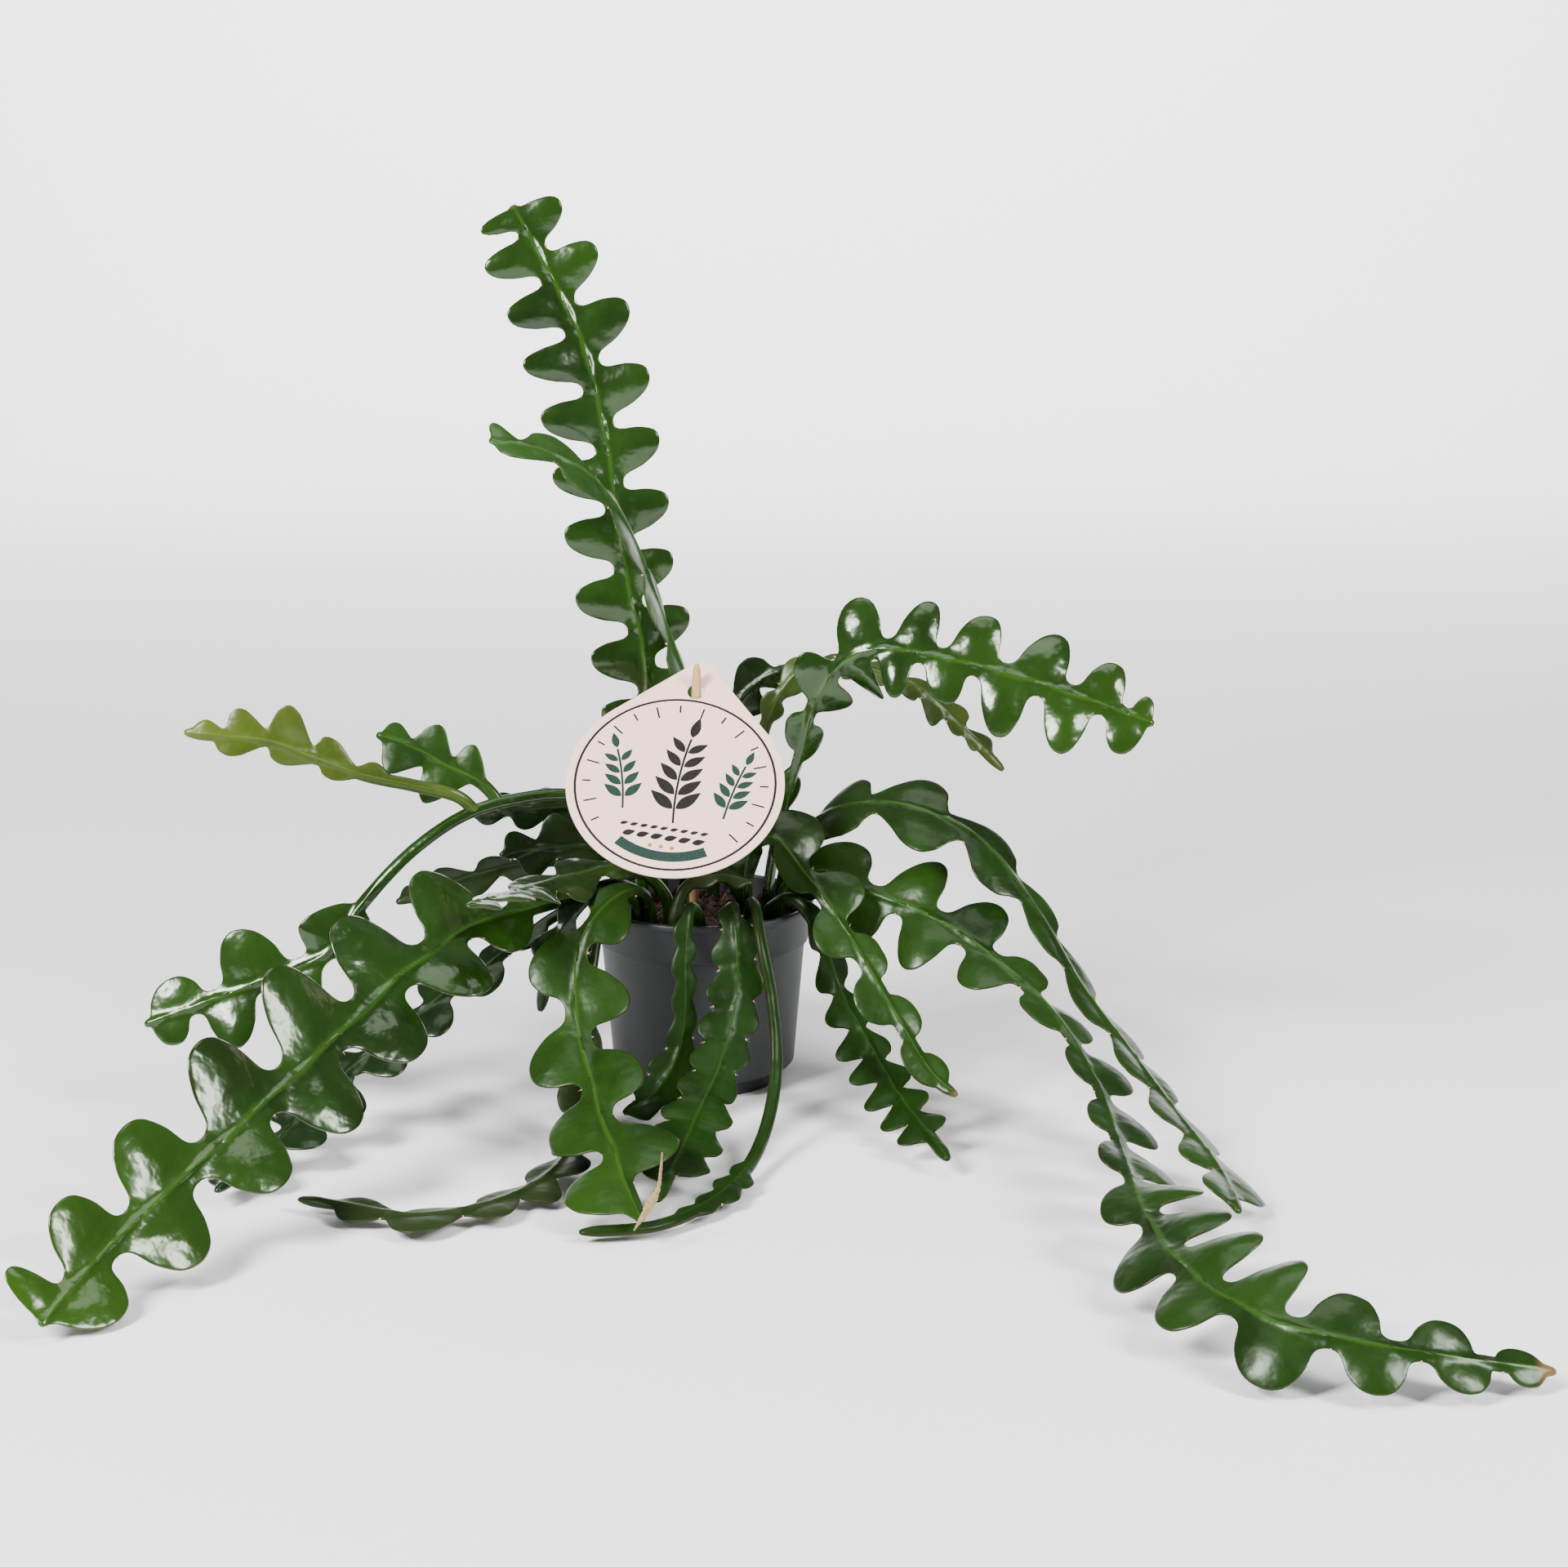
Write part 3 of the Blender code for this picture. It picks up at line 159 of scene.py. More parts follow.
# The stems of part.py: route and reach in centimetres, and the way the broad face looks.
stems = {
    "stem_tall": {
        "route": [(-2, 2.4, 6.55), (-2.1, 2.3, 10), (-2.4, 2, 14), (-2.7, 2, 19.4), (-3.7, 2.5, 24.4),
                  (-4.4, 3, 29.4), (-5.5, 3.5, 34.3), (-7.6, 4, 38.8), (-8.8, 4.2, 41)],
        "faces": [(0.1, -1, 0.1), (0.1, -1, 0.1), (0.15, -1, 0.1)],
        "left": [(7.6, 1.5), (10.4, 2.3), (13.3, 2.5), (16.4, 2.6), (19.2, 2.6), (22, 2.8),
                 (24.8, 2.8), (27.8, 3), (30.6, 2.7), (33.2, 2.6), (35.5, 1.9)],
        "right": [(6, 0.9), (8.8, 1.7), (11.7, 2.4), (14.6, 2.5), (17.4, 2.3), (20.3, 2.5),
                  (23.1, 2.5), (26, 2.6), (28.9, 2.7), (31.8, 2.5), (34.6, 2)],
        "edge": "thumb", "lean": 0.16, "cup": 0.1, "skin": "mid",
    },
    "stem_tall_thin": {
        "route": [(-0.6, 0.8, 6.55), (-0.5, 0.7, 12), (-0.6, 0.4, 18.1), (-1.7, 0.2, 21.7),
                  (-3.5, -0.8, 26.7), (-5.1, -1.2, 29), (-7.4, -2, 30.3), (-9.5, -2.6, 30.8)],
        "faces": [(0.9, -0.3, 0.1), (0.9, -0.25, 0.3), (0.8, -0.3, 0.5), (0.4, -0.35, 0.8)],
        "left": [(9.2, 0.9), (12.8, 1.4), (16.4, 1.7), (20, 1.6), (23.6, 1.5), (27.2, 1.3)],
        "right": [(10.1, 1.1), (13.9, 0.6), (16.3, 0.6), (21.3, 0.6), (25, 1.4), (29.4, 1.3)],
        "edge": "wave", "lean": 0.35, "cup": 0.1, "skin": "young",
    },
    "stem_right_arch": {
        "route": [(2.9, -0.4, 6.55), (3.2, -0.3, 10), (3.9, 0, 13.4), (4.5, -0.3, 15.5),
                  (5.5, -0.8, 18.9), (7.5, -1.5, 20.9), (11.8, -2.5, 20.6), (16.3, -3.5, 19.5),
                  (20.7, -4.5, 18.1)],
        "faces": [(0.8, -0.6, 0), (0.6, -0.8, 0.1), (0.1, -0.9, 0.4), (0, -0.85, 0.5),
                  (0.1, -0.85, 0.5)],
        "left": [(7.8, 0.7), (10.6, 1), (13.2, 1.7), (15.7, 2.6), (17.9, 2.7), (20.6, 2.5),
                 (23.9, 2.8), (27.1, 2.1), (29.4, 1)],
        "right": [(7.4, 0.7), (10, 1), (12.7, 1.6), (15.1, 2.4), (17.3, 2.3), (19.6, 2), (22.5, 2.9),
                  (25.8, 2.9), (28.6, 1.8)],
        "edge": "thumb", "lean": 0.12, "cup": -0.12, "skin": "mid",
    },
    "stem_right_slender": {
        "route": [(2, 1.7, 6.55), (2.2, 1.9, 12), (3.1, 2.3, 17), (4.8, 2.6, 19.3), (7.1, 2.8, 19.3),
                  (10.1, 2.5, 18.4), (12.6, 2, 16.2), (14.3, 1.5, 14.6)],
        "faces": [(0.3, -0.9, 0.2), (0.2, -0.8, 0.5), (0.3, -0.5, 0.8), (0.5, -0.5, 0.7)],
        "left": [(11.1, 0.7), (13.1, 0.8), (15.1, 0.8), (17.1, 0.9), (19.1, 0.9), (21.1, 1.1),
                 (23.1, 1)],
        "right": [(10.9, 0.6), (12.4, 0.8), (13.9, 0.8), (15.4, 0.8), (16.9, 0.9), (18.6, 1.1),
                  (20.3, 1.4), (21.8, 0.7), (22.9, 0.6)],
        "edge": "wave", "lean": 0.35, "cup": 0.1, "skin": "olive",
    },
    "stem_back_short": {
        "route": [(0.4, 3.9, 6.55), (0.5, 4, 12), (1.2, 4, 16.6), (2.4, 4, 18.3), (4.4, 4, 19.2)],
        "faces": [(0.3, -1, 0.1), (0, -1, 0.2)],
        "left": [(5.2, 0.8), (7.6, 1.3), (10, 1.4), (12.4, 1.2)],
        "right": [(6.4, 0.9), (8.8, 1.5), (11.2, 1.3), (13.6, 0.7)],
        "edge": "wave", "lean": 0.2, "cup": 0.1, "skin": "dark",
    },
    "stem_right_far": {
        "route": [(3.7, 1, 6.55), (3.9, 1.2, 9.8), (5.4, 0.7, 12.3), (7.5, -0.1, 13.3),
                  (10, -1.4, 13.4), (12.9, -3.1, 12.3), (15.4, -5.4, 9.5), (17.3, -8, 6.6),
                  (19, -10.3, 4.7), (20.7, -14, 3), (22.2, -18.4, 1.8), (22.6, -22.6, 1.3)],
        "faces": [(0.2, -0.6, 0.5), (0, -0.5, 0.85), (0.3, -0.45, 0.8), (0.75, -0.35, 0.55),
                  (0.6, -0.5, 0.6), (0.4, -0.4, 0.8)],
        "left": [(7.8, 2), (10.4, 2.1), (15.9, 1.2), (19.5, 1), (22.8, 1.2), (26.6, 1.9), (30, 1.1),
                 (33.4, 1.3), (37.4, 2.1)],
        "right": [(7, 1.9), (12.4, 2.6), (16.8, 1.6), (20.8, 1.2), (24.7, 1.3), (28.6, 1.5),
                  (32.4, 1.6), (35.6, 1.6), (38.9, 1.4)],
        "edge": "wave", "lean": 0.25, "cup": -0.1, "skin": "mid",
    },
    "stem_right_long": {
        "route": [(3.8, -1.2, 6.55), (3.9, -1.25, 9.4), (5.4, -1.8, 10.5), (8, -2.6, 9.6),
                  (10.9, -4.6, 8.9), (13.8, -7.5, 7.5), (15.9, -10.8, 6.1), (17.4, -15, 4.3),
                  (17.9, -20.4, 3.2), (18.4, -27, 2.6), (19.6, -32.8, 2.4), (22, -37, 2.3),
                  (26.6, -38.4, 1.8), (32.2, -37.7, 0.7)],
        "faces": [(0.1, -0.8, 0.6), (0.1, -0.9, 0.5), (0.5, -0.6, 0.6), (0.4, -0.5, 0.75),
                  (-0.35, -0.5, 0.8), (-0.05, -0.7, 0.7), (0, -0.6, 0.8)],
        "left": [(5.7, 1.8), (9.5, 2.7), (12.9, 2.4), (16.6, 1.3), (20.3, 1.6), (23.8, 1.9),
                 (27.4, 2.3), (31.1, 2.4), (34.6, 2.6), (38.3, 2.9), (41.9, 3.1), (45.9, 3),
                 (50.3, 1.9), (53.9, 1.4), (57.3, 0.7)],
        "right": [(3.7, 1.3), (7.2, 2.4), (11.3, 2.9), (15.3, 2.2), (19.4, 1.3), (23.4, 1), (27.3, 1),
                  (31, 1.2), (34.8, 1.6), (39.5, 2.6), (43.8, 2.5), (48, 2.5), (51.5, 1.9),
                  (54.7, 1.4), (57.6, 0.7)],
        "edge": "thumb", "lean": 0.15, "cup": -0.08, "skin": "mid",
    },
    "stem_right_front": {
        "route": [(2, -1.5, 6.55), (1.9, -1.7, 9.4), (2.3, -1.9, 11.6), (3.3, -2.5, 12.2),
                  (4.9, -3.6, 10.7), (6.8, -5.6, 8.4), (8.7, -7.7, 5.6), (10.6, -9.6, 2.9),
                  (11.6, -10.4, 2.3)],
        "faces": [(0.3, -0.9, 0.3), (0.1, -0.8, 0.6), (0.2, -0.75, 0.6), (0.3, -0.7, 0.6)],
        "left": [(3.5, 0.8), (6.9, 2.3), (10.5, 2), (13.7, 1.1), (17.3, 1.1), (20.1, 0.9)],
        "right": [(4.3, 0.6), (8.3, 1), (12.2, 1.6), (15.9, 1.4), (19.6, 0.9)],
        "edge": "thumb", "lean": 0.1, "cup": -0.1, "skin": "mid",
    },
    "stem_right_hanging": {
        "route": [(3.1, -2.4, 6.55), (3.2, -2.8, 8.9), (4.2, -3.8, 9.7), (5.2, -3.8, 8.6),
                  (5.8, -3.6, 7), (6.5, -4, 5.2), (7.6, -5.8, 3.6), (9, -9, 2), (11, -15, 0.9)],
        "faces": [(0.2, -0.5, 0.8), (0.5, -0.7, 0.4), (0.1, -0.95, 0.3), (0, -0.85, 0.5)],
        "left": [(5.3, 0.7), (7.9, 1), (10.4, 0.9), (12.6, 0.9), (14.7, 1), (16.8, 1.1), (18.9, 1.1)],
        "right": [(6.2, 0.7), (8.3, 1.2), (10.4, 1.5), (12.2, 1.7), (13.9, 1.7), (15.6, 1.7),
                  (17.4, 1.6), (19.4, 1.4)],
        "edge": "wave", "lean": 0.2, "cup": 0.05, "skin": "dark",
    },
    "stem_front_middle": {
        "route": [(1.1, -3.8, 6.55), (1.2, -4.2, 9), (1.5, -5.4, 9.7), (1.7, -6.5, 8.5),
                  (1.7, -7.5, 6.2), (1.1, -9.5, 3.9), (0, -13, 2.2), (-1.5, -20.2, 0.9)],
        "faces": [(0, -0.5, 0.8), (0, -0.95, 0.3), (0, -0.9, 0.5), (0, -0.5, 0.85)],
        "left": [(5.5, 1.1), (7.4, 1.2), (9.2, 1.2), (10.9, 1.2), (12.8, 1.2), (14.9, 1.6), (17, 1.7),
                 (19.3, 1.6)],
        "right": [(4.1, 0.7), (6, 1.2), (7.9, 1.4), (9.7, 1.5), (11.6, 1.4), (13.4, 1.4), (15.2, 1.6),
                  (17, 1.5), (18.8, 1.5), (20.4, 1.2)],
        "edge": "tooth", "lean": 0.2, "cup": 0.05, "skin": "mid",
    },
    "stem_front_narrow": {
        "route": [(-0.1, -3.9, 6.55), (-0.1, -4.4, 9), (-0.5, -5.4, 9.6), (-0.7, -6.5, 7.6),
                  (-0.7, -7.2, 5.2), (-1, -7.8, 3.4), (-2.1, -8.8, 1.8), (-3.4, -9.6, 1.2)],
        "faces": [(0, -0.5, 0.8), (0.3, -0.9, 0.3), (0.2, -0.9, 0.4), (0, -0.7, 0.7)],
        "left": [(5.6, 0.6), (7.2, 0.6), (8.8, 0.6), (10.4, 0.8), (12, 1.3), (13.6, 0.9)],
        "right": [(4.8, 0.6), (6.4, 0.6), (8, 0.6), (9.6, 0.7), (11.2, 1), (12.8, 1.2)],
        "edge": "tooth", "lean": 0.2, "cup": 0, "skin": "dark",
    },
    "stem_front_left": {
        "route": [(-2.4, -3.1, 6.55), (-2.4, -3.4, 9.2), (-2.8, -4.4, 10.2), (-3.9, -5.5, 10.1),
                  (-5.2, -7.1, 8.9), (-5.6, -8.8, 6.7), (-5, -11.2, 4.5), (-4.1, -15, 3),
                  (-3, -19.6, 2), (-2, -23.4, 1.2)],
        "faces": [(0, -0.4, 0.9), (-0.1, -0.7, 0.7), (0, -0.95, 0.35), (0, -0.85, 0.5), (0, -0.7, 0.7)],
        "left": [(6.8, 1.7), (11.1, 2.5), (15.9, 2.3), (21.6, 2.8)],
        "right": [(5.3, 0.9), (9.8, 2.1), (13.9, 2.6), (18.9, 2.5), (24.4, 2.7)],
        "edge": "thumb", "lean": 0.1, "cup": -0.08, "skin": "light",
    },
    "stem_front_thin": {
        "route": [(2.2, -3.1, 6.55), (2.2, -3.4, 8.9), (2.5, -5.2, 9.8), (2.8, -7.2, 8.6),
                  (3.3, -8.2, 6.2), (3.5, -9.8, 3.4), (2.9, -13, 1.2), (1.2, -18.6, 0.6),
                  (-1.4, -22, 0.5), (-4.6, -22.8, 0.5)],
        "faces": [(0.3, -0.4, 0.8), (0.8, -0.5, 0.3), (0.5, -0.5, 0.7), (0, -0.3, 1), (0, -0.2, 1)],
        "left": [(20.7, 0.7), (22.5, 0.8), (24.3, 0.6)],
        "right": [(19.8, 0.6), (21.6, 0.8), (23.4, 0.7), (25.2, 0.6)],
        "edge": "tooth", "lean": 0.2, "cup": 0, "skin": "mid",
    },
    "stem_left_ground": {
        "route": [(-3.2, -2.3, 6.55), (-3.4, -2.7, 8.9), (-4.4, -4.2, 9.4), (-5, -6, 7),
                  (-5.2, -8, 3.6), (-5.4, -10.6, 1.2), (-6, -15.4, 0.7), (-8.2, -19.4, 0.6),
                  (-11.4, -21.2, 0.6), (-14.4, -20.1, 0.6), (-16.7, -19.1, 0.6)],
        "faces": [(0, -0.4, 0.9), (0, -0.9, 0.3), (-0.1, -0.3, 1), (0, -0.1, 1), (0, -0.15, 1)],
        "left": [(8.3, 0.6), (11.1, 0.8), (14, 1.2), (16.8, 1.3), (19.6, 1.5), (22.5, 1.6),
                 (24.9, 1.4), (28.1, 1.7), (31, 1)],
        "right": [(9.6, 0.7), (13.3, 1.1), (16.9, 0.9), (20.7, 0.9), (24.2, 0.8), (27.5, 0.8),
                  (31.1, 0.8)],
        "edge": "wave", "lean": 0.25, "cup": 0, "skin": "dull",
    },
    "stem_left_big": {
        "route": [(-3.7, -1.2, 6.55), (-4, -1.5, 9), (-5.6, -3, 9.5), (-7.9, -4.8, 9.4),
                  (-10, -7.2, 9.4), (-12.6, -11.8, 8.6), (-15.7, -17.5, 6.7), (-18.6, -22.5, 4.9),
                  (-21, -26.5, 3.4), (-22.9, -29.8, 2.1), (-24.4, -33.5, 0.8)],
        "faces": [(0, -0.7, 0.7), (0.2, -0.7, 0.7), (0.4, -0.75, 0.6), (0.4, -0.8, 0.5),
                  (0.3, -0.85, 0.5)],
        "left": [(9.5, 1.9), (14.5, 3.1), (19.8, 3.1), (24.9, 3.4), (29.6, 3), (34.8, 3), (40, 2.2)],
        "right": [(6.7, 1.2), (11.9, 3.3), (17.1, 3.7), (22.7, 4), (28.1, 3.7), (33.3, 3.1),
                  (38.1, 2.6), (41.9, 2.3)],
        "edge": "thumb", "lean": 0, "cup": 0.12, "skin": "mid",
    },
    "stem_left_arch": {
        "route": [(-2.8, -0.3, 6.55), (-3, -0.4, 10.5), (-3.9, -0.9, 13.3), (-6.3, -1.5, 14.1),
                  (-8.1, -2, 14.1), (-10.7, -3, 13.6), (-13.2, -4, 12.1), (-15.5, -5, 9.8),
                  (-17.2, -5.8, 7.6), (-20.8, -6, 6.1), (-25.5, -6.4, 4.4)],
        "faces": [(0.5, -0.8, 0.2), (0, -0.8, 0.5), (-0.2, -0.7, 0.6), (0.3, -0.8, 0.5),
                  (0, -0.9, 0.4)],
        "left": [(22.2, 1.5), (25.4, 2.5), (28.6, 2.6), (32, 1.2)],
        "right": [(22.7, 1.8), (27.2, 2.6), (31, 1.6)],
        "edge": "thumb", "lean": 0.1, "cup": 0.1, "skin": "mid",
    },
    "shoot_young": {
        "route": [(-10.4, -2.9, 13.6), (-11.2, -3.2, 14.4), (-13.2, -3.5, 15), (-15.3, -3.7, 15.5),
                  (-17.4, -3.9, 16.3), (-19.4, -4.2, 17.2), (-21.4, -4.4, 17.5), (-23.5, -4.4, 17.7)],
        "faces": [(0, -0.9, 0.3), (0, -0.95, 0.3), (0, -0.95, 0.3)],
        "left": [(6.7, 0.7), (9, 0.9), (11.7, 0.9)],
        "right": [(5.1, 0.7), (7.1, 1.1), (9.4, 1.8), (11.4, 1.3), (13.3, 0.6)],
        "edge": "wave", "lean": 0.3, "cup": 0.1, "skin": "yellow",
    },
    "shoot_dark": {
        "route": [(-9.2, -2.4, 13.7), (-10.2, -2.2, 14.8), (-12, -1.9, 15.7), (-13.6, -1.7, 16.5),
                  (-15.1, -1.6, 17)],
        "faces": [(0.1, -0.9, 0.3), (0.3, -0.9, 0.3)],
        "left": [(3.1, 2.1), (5.5, 1.6)],
        "right": [(2.3, 1.4), (4.2, 1.5), (6.5, 0.7)],
        "edge": "wave", "lean": 0.15, "cup": 0.15, "skin": "dark",
    },
    "stem_left_dark": {
        "route": [(-3.4, 0.9, 6.55), (-3.4, 0.9, 9.2), (-4.5, 0.5, 10.8), (-7.3, 0.1, 11.2),
                  (-9.6, -0.4, 10.9)],
        "faces": [(0.2, -0.9, 0.3), (0, -0.95, 0.3)],
        "left": [(3.6, 1), (5.9, 1.6), (8.2, 1.4)],
        "right": [(2.4, 0.6), (4.7, 1.6), (7, 1.6), (9.3, 0.9)],
        "edge": "wave", "lean": 0.2, "cup": 0.1, "skin": "dark",
    },
    "stem_left_small": {
        "route": [(-1, 3.3, 6.55), (-1.2, 3.4, 10), (-4, 3.4, 12.2), (-7.5, 3, 12.4),
                  (-11.4, 2.7, 12.2)],
        "faces": [(0.2, -0.9, 0.3), (0, -0.95, 0.3)],
        "left": [(7.2, 0.8), (9.4, 1.1), (11.6, 1), (13.8, 0.6)],
        "right": [(8.3, 1.1), (10.5, 1), (12.7, 0.9)],
        "edge": "wave", "lean": 0.3, "cup": 0.1, "skin": "dark",
    },
    "stem_left_glossy": {
        "route": [(-1.5, -2.2, 6.55), (-1.7, -2.3, 9.4), (-3.3, -3.2, 11), (-5.6, -4.6, 11),
                  (-7.3, -6.2, 10.9), (-8.6, -9, 11.2), (-10, -12, 11.5)],
        "faces": [(0, -0.6, 0.8), (-0.2, -0.6, 0.8), (-0.3, -0.5, 0.8)],
        "left": [(5.6, 0.8), (8.4, 1.7), (11.2, 1.8), (14, 1.8), (16.3, 1.2)],
        "right": [(4.9, 0.7), (7.7, 1.7), (10.5, 1.1), (14.1, 1.1)],
        "edge": "wave", "lean": 0.1, "cup": -0.2, "skin": "mid",
    },
    "stem_left_back": {
        "route": [(-3.2, 2.1, 6.55), (-3.4, 2.3, 9), (-5.5, 2.2, 10), (-8.5, 1.7, 9.9),
                  (-10.8, 1.1, 9.5), (-14.6, 0, 8.5)],
        "faces": [(0, -0.6, 0.8), (0, -0.6, 0.8)],
        "left": [(5.7, 0.6), (8.1, 1), (10.5, 1.1), (12.9, 0.9)],
        "right": [(6.9, 0.7), (9.3, 1), (11.7, 1.2), (14.1, 0.6)],
        "edge": "wave", "lean": 0.2, "cup": 0, "skin": "dull",
    },
    "stem_across": {
        "route": [(-1.2, -3.9, 6.55), (-1.2, -3.8, 8.9), (-0.6, -3.4, 10.2), (0.8, -3, 10.5),
                  (2.4, -3.2, 10.3)],
        "faces": [(0, -0.5, 0.8), (0, -0.5, 0.8)],
        "left": [(5.6, 0.7)],
        "right": [(4.6, 0.6), (6.6, 0.6)],
        "edge": "wave", "lean": 0.2, "cup": 0, "skin": "dull",
    },
    "stem_left_under": {
        "route": [(-3.95, -0.1, 6.55), (-4.1, -0.3, 8.9), (-6.4, -1.8, 8.6), (-10, -4.6, 6.6),
                  (-13.5, -7.2, 4.6), (-16.2, -10.2, 2.8), (-18.4, -14.4, 1.4), (-20.2, -19, 0.9)],
        "faces": [(0, -0.4, 0.9), (0, -0.4, 0.9), (0, -0.3, 1)],
        "left": [(7.4, 0.8), (10.6, 1.4), (13.8, 1.9), (17, 2.1), (20.2, 2.1), (23.4, 2), (26.6, 1.6)],
        "right": [(9, 0.9), (12.2, 1.8), (15.4, 2), (18.6, 2.1), (21.8, 2.1), (25, 1.9), (28.2, 1)],
        "edge": "thumb", "lean": 0.1, "cup": 0, "skin": "dark",
    },
    "stem_left_stub": {
        "route": [(-2.6, -1.3, 6.55), (-2.8, -1.7, 9.2), (-4.6, -4, 10.3), (-6.6, -5.2, 8.2),
                  (-7.4, -5.6, 4.8)],
        "faces": [(0, -0.6, 0.7), (0.3, -0.9, 0.2)],
        "left": [(8.7, 0.9), (10.7, 0.8)],
        "right": [(7.7, 0.7), (9.7, 1)],
        "edge": "wave", "lean": 0.2, "cup": 0, "skin": "dark",
    },
}

stemShape = {
    "columnStep": 1.2 * mm,
    "rows": [0.0, 0.045, 0.10, 0.17, 0.27, 0.40, 0.54, 0.68, 0.80, 0.90, 0.965, 1.0],
    "neckHalfWidth": 3.0 * mm, "neckHalfThickness": 2.25 * mm,
    "bladeHalf": 0.85 * mm, "edgeHalf": 0.30 * mm,
    "ribHeight": 1.0 * mm, "ribWidth": 1.6 * mm,
    "vein": 0.35 * mm, "veinWidth": 1.3 * mm, "veinPitch": 30 * mm,
    "pillow": 0.1, "pillowFrom": 6 * mm,  # lobes wider than this swell
    "tilt": 0.10, "cupAcross": 30 * mm,
    "lobedFrom": 3.5 * mm, "lobedOver": 6 * mm,  # the narrow foot is round, not lobed
    "endLobe": 11 * mm, "endEase": 8 * mm, "sinusEase": 2.5 * mm,
    "lying": 0.4 * mm, "lowest": 0.25 * mm,
    "tipLength": 9.0 * mm, "tipFlat": 0.96, "tipWidth": 0.35, "tipThickness": 0.3,
    "youngFrom": 0.45, "dryFade": 4 * mm,
}


# Values read at shares from 0 to 1 along evenly spread values, eased between them.
def spread(values, share):
    values = np.asarray(values, float)
    place = np.clip(share, 0, 1) * (len(values) - 1)
    k = np.minimum(place.astype(int), len(values) - 2)
    t = place - k
    t = (t * t * (3 - 2 * t))[:, None]
    return values[k] * (1 - t) + values[k + 1] * t


# Evenly spaced points in metres on the centripetal Catmull-Rom curve that part.py uses.
def smoothRoute(points, samples=900):
    points = np.asarray(points, float) * cm
    full = np.vstack([2 * points[0] - points[1], points, 2 * points[-1] - points[-2]])
    found = []
    for k in range(len(points) - 1):
        p0, p1, p2, p3 = full[k:k + 4]
        k1 = np.linalg.norm(p1 - p0) ** 0.5
        k2 = k1 + np.linalg.norm(p2 - p1) ** 0.5
        k3 = k2 + np.linalg.norm(p3 - p2) ** 0.5
        for t in np.linspace(k1, k2, 40, endpoint=False):
            a1 = (k1 - t) / k1 * p0 + t / k1 * p1
            a2 = (k2 - t) / (k2 - k1) * p1 + (t - k1) / (k2 - k1) * p2
            a3 = (k3 - t) / (k3 - k2) * p2 + (t - k2) / (k3 - k2) * p3
            b1 = (k2 - t) / k2 * a1 + t / k2 * a2
            b2 = (k3 - t) / (k3 - k1) * a2 + (t - k1) / (k3 - k1) * a3
            found.append((k2 - t) / (k2 - k1) * b1 + (t - k1) / (k2 - k1) * b2)
    found = np.array(found + [points[-1]])
    steps = np.linalg.norm(np.diff(found, axis=0), axis=1)
    lengths = np.concatenate([[0], np.cumsum(steps)])
    even = np.linspace(0, lengths[-1], samples)
    return np.stack([np.interp(even, lengths, found[:, i]) for i in range(3)], 1), lengths[-1]


# The lobe's edge as a smooth curve through its points: place along the pitch, and reach.
def smoothEdge(shape, where):
    shape = np.asarray(shape, float)
    count = len(shape)
    k = where.astype(int) % count
    t = (where - where.astype(int))[:, None]
    around = []
    for step in (-1, 0, 1, 2):
        index = k + step
        p = shape[index % count].copy()
        p[:, 0] += index // count
        around.append(p)
    p0, p1, p2, p3 = around
    square = (2 * p0 - 5 * p1 + 4 * p2 - p3) * t ** 2
    cube = (3 * p1 - p0 - 3 * p2 + p3) * t ** 3
    curve = 0.5 * (2 * p1 + (p2 - p0) * t + square + cube)
    return curve[:, 0], np.clip(curve[:, 1], 0.05, 1.02)


# The sinuses along the rib on one side, and the places and values of the reach between them.
def lobesOf(stem, side, length):
    s = stemShape
    lobes = np.array(stem["right" if side > 0 else "left"]) * cm
    places, reaches = lobes[:, 0], lobes[:, 1]
    middles = (places[1:] + places[:-1]) / 2
    halfFirst = middles[0] - places[0] if len(middles) else s["endLobe"]
    halfLast = places[-1] - middles[-1] if len(middles) else s["endLobe"]
    first = max(1 * mm, places[0] - halfFirst)
    last = min(length + 1 * mm, places[-1] + halfLast)
    sinuses = np.concatenate([[first], middles, [last]])
    at = np.concatenate([[first - s["endEase"], first], places, [last, last + s["endEase"]]])
    neck = s["neckHalfWidth"]
    values = np.concatenate([[neck, reaches[0] * 0.5], reaches, [reaches[-1] * 0.6, neck]])
    return sinuses, at, values


# Each lobe's own tilt, eased into the next one's across the sinus.
def easedTilt(lobe, part, seed):
    here, reach = 0.14, 0.28
    tilts = [stemShape["tilt"] * np.sin(2.4 * (lobe + step) + seed) for step in (-1, 0, 1)]
    before = np.clip((here - part) / reach, 0, 0.5)
    after = np.clip((part - (1 - here)) / reach, 0, 0.5)
    return tilts[1] * (1 - before - after) + tilts[0] * before + tilts[2] * after


# Per column: shift along the rib, half width, lobe number, place in the lobe, share of reach.
def edgeAlong(stem, lobes, at):
    sinuses, places, values = lobes
    inside = (at > sinuses[0]) & (at < sinuses[-1])
    lobe = np.clip(np.searchsorted(sinuses, at) - 1, 0, len(sinuses) - 2)
    size = sinuses[lobe + 1] - sinuses[lobe]
    part = np.clip((at - sinuses[lobe]) / size, 0, 0.99999)
    shape = edgeShapes[stem["edge"]]
    x, w = smoothEdge(shape, part * len(shape))
    neck = stemShape["neckHalfWidth"]
    toEnd = np.minimum(at - sinuses[0], sinuses[-1] - at)
    ends = np.clip(toEnd / stemShape["sinusEase"], 0, 1)
    half = neck + (np.maximum(neck, np.interp(at, places, values) * w) - neck) * ends
    return np.where(inside, (x - part) * size, 0.0), np.where(inside, half, neck), lobe, part, w


